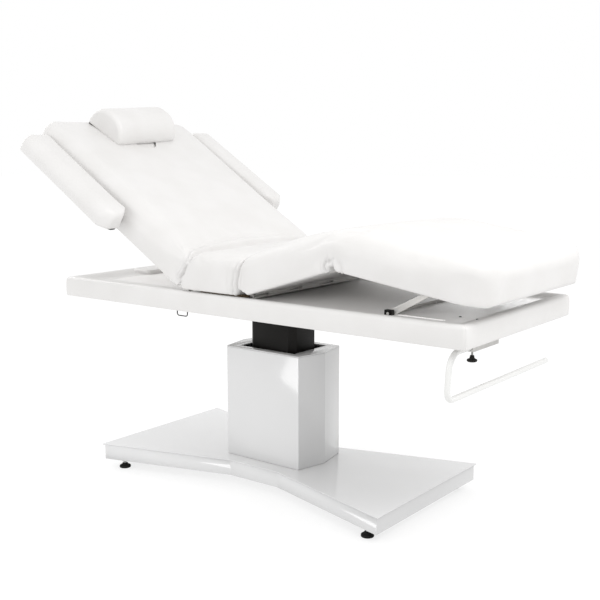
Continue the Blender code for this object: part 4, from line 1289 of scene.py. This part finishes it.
def make_screws():
    """Two small screws in the panel near the foot end."""
    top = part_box("frame_top_panel")[1].z
    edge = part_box("frame_apron_foot")[1]
    for number, (x, y) in enumerate(((0.790, -0.170), (0.850, -0.180)), 1):
        lift = max(rim_height(edge.x - COLUMN_X - x, edge.z - RIM_DROP) - top, 0.0)
        screw = lathe(
            f"panel_screw_{number}",
            [(0, 0.0002), (0.0012, 0.0002), (0.0016, 0.0013), (0.0034, 0.0011),
             (0.0044, 0.0001), (0.0044, -0.003)],
            (COLUMN_X + x, y, top + lift), BLACK_PLASTIC, 20,
        )
        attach(screw, "bed_frame")


# ---------------------------------------------------------------- camera, light, stage
def make_stage():
    bpy.ops.mesh.primitive_plane_add(size=60, location=(0, 0, 0))
    floor = bpy.context.object
    floor.name = "floor"
    m = Nodes("pale_floor")
    m.set(Base_Color=(0.32, 0.32, 0.32, 1), Roughness=0.9, Specular_IOR_Level=0.0,
          Emission_Color=(1.0, 1.0, 1.0, 1), Emission_Strength=0.70)
    floor.data.materials.append(m.material)


def make_world():
    world = bpy.data.worlds.new("studio")
    bpy.context.scene.world = world
    world.use_nodes = True
    background = world.node_tree.nodes["Background"]
    background.inputs["Color"].default_value = (1.0, 1.0, 1.0, 1.0)
    background.inputs["Strength"].default_value = 1.0


def area(name, place, target, size, power):
    light = bpy.data.lights.new(name, "AREA")
    light.shape = "RECTANGLE"
    light.size, light.size_y = size
    light.energy = power
    obj = add_object(name, light)
    obj.location = place
    way = Vector(target) - Vector(place)
    obj.rotation_euler = way.to_track_quat("-Z", "Y").to_euler()
    obj.visible_camera = False
    return obj


def light_only(names, lights, title):
    """Makes some lights reach only these CAD nodes."""
    lit = bpy.data.collections.new(title)
    for name in names:
        lit.objects.link(NODES[name])
    for light in lights:
        light.light_linking.receiver_collection = lit


def make_lights():
    area("key_foot", (1.9, -0.3, 2.6), (0.3, 0, 0.8), (1.6, 1.6), 27)
    area("fill_left", (-0.7, -2.9, 1.5), (0.1, 0, 0.6), (1.2, 0.9), 9)
    area("head_fill", (-3.0, 0.2, 2.0), (-0.5, 0, 0.5), (1.5, 1.5), 24)
    on_panel = (
        area("below_legs_far", (0.3, 1.9, 1.15), (0.2, 0, 0.72), (1.4, 0.5), 11),
        area("below_legs_near", (0.75, -1.7, 1.22), (0.5, 0, 0.72), (0.9, 0.5), 12),
        area("over_head_end", (-1.5, -0.9, 1.5), (-0.7, 0, 0.7), (0.6, 0.6), 5),
    )
    light_only(("frame_top_panel", "leg_strut_near", "leg_strut_far"), on_panel, "lit_panel")
    low_side = area("low_side", (-1.1, -2.3, 0.6), (0, -0.2, 0.3), (0.9, 0.9), 11)
    light_only(("column_cover", "base_body"), (low_side,), "lit_low")


def make_camera():
    camera = bpy.data.cameras.new("camera")
    camera.sensor_width = 36.0
    camera.lens = 58.5
    obj = add_object("camera", camera)
    obj.location = (COLUMN_X + 2.110, -2.668, 1.1915)
    obj.rotation_euler = Euler((math.radians(80.99), 0, math.radians(37.33)))
    bpy.context.scene.camera = obj


def set_view():
    settings = bpy.context.scene.view_settings
    settings.view_transform = "Standard"
    settings.look = "None"
    settings.exposure = 0.0


finish_cad()
attach_mattress(make_mattress())
make_face_plug()
make_rest_pad()
for armrest, armrest_side in (("near", -1), ("far", 1)):
    make_armrest(armrest, armrest_side)
make_pillow()
make_frame_cover()
make_feet()
make_knob()
make_roll_bar()
make_screws()
make_stage()
make_world()
make_lights()
make_camera()
set_view()
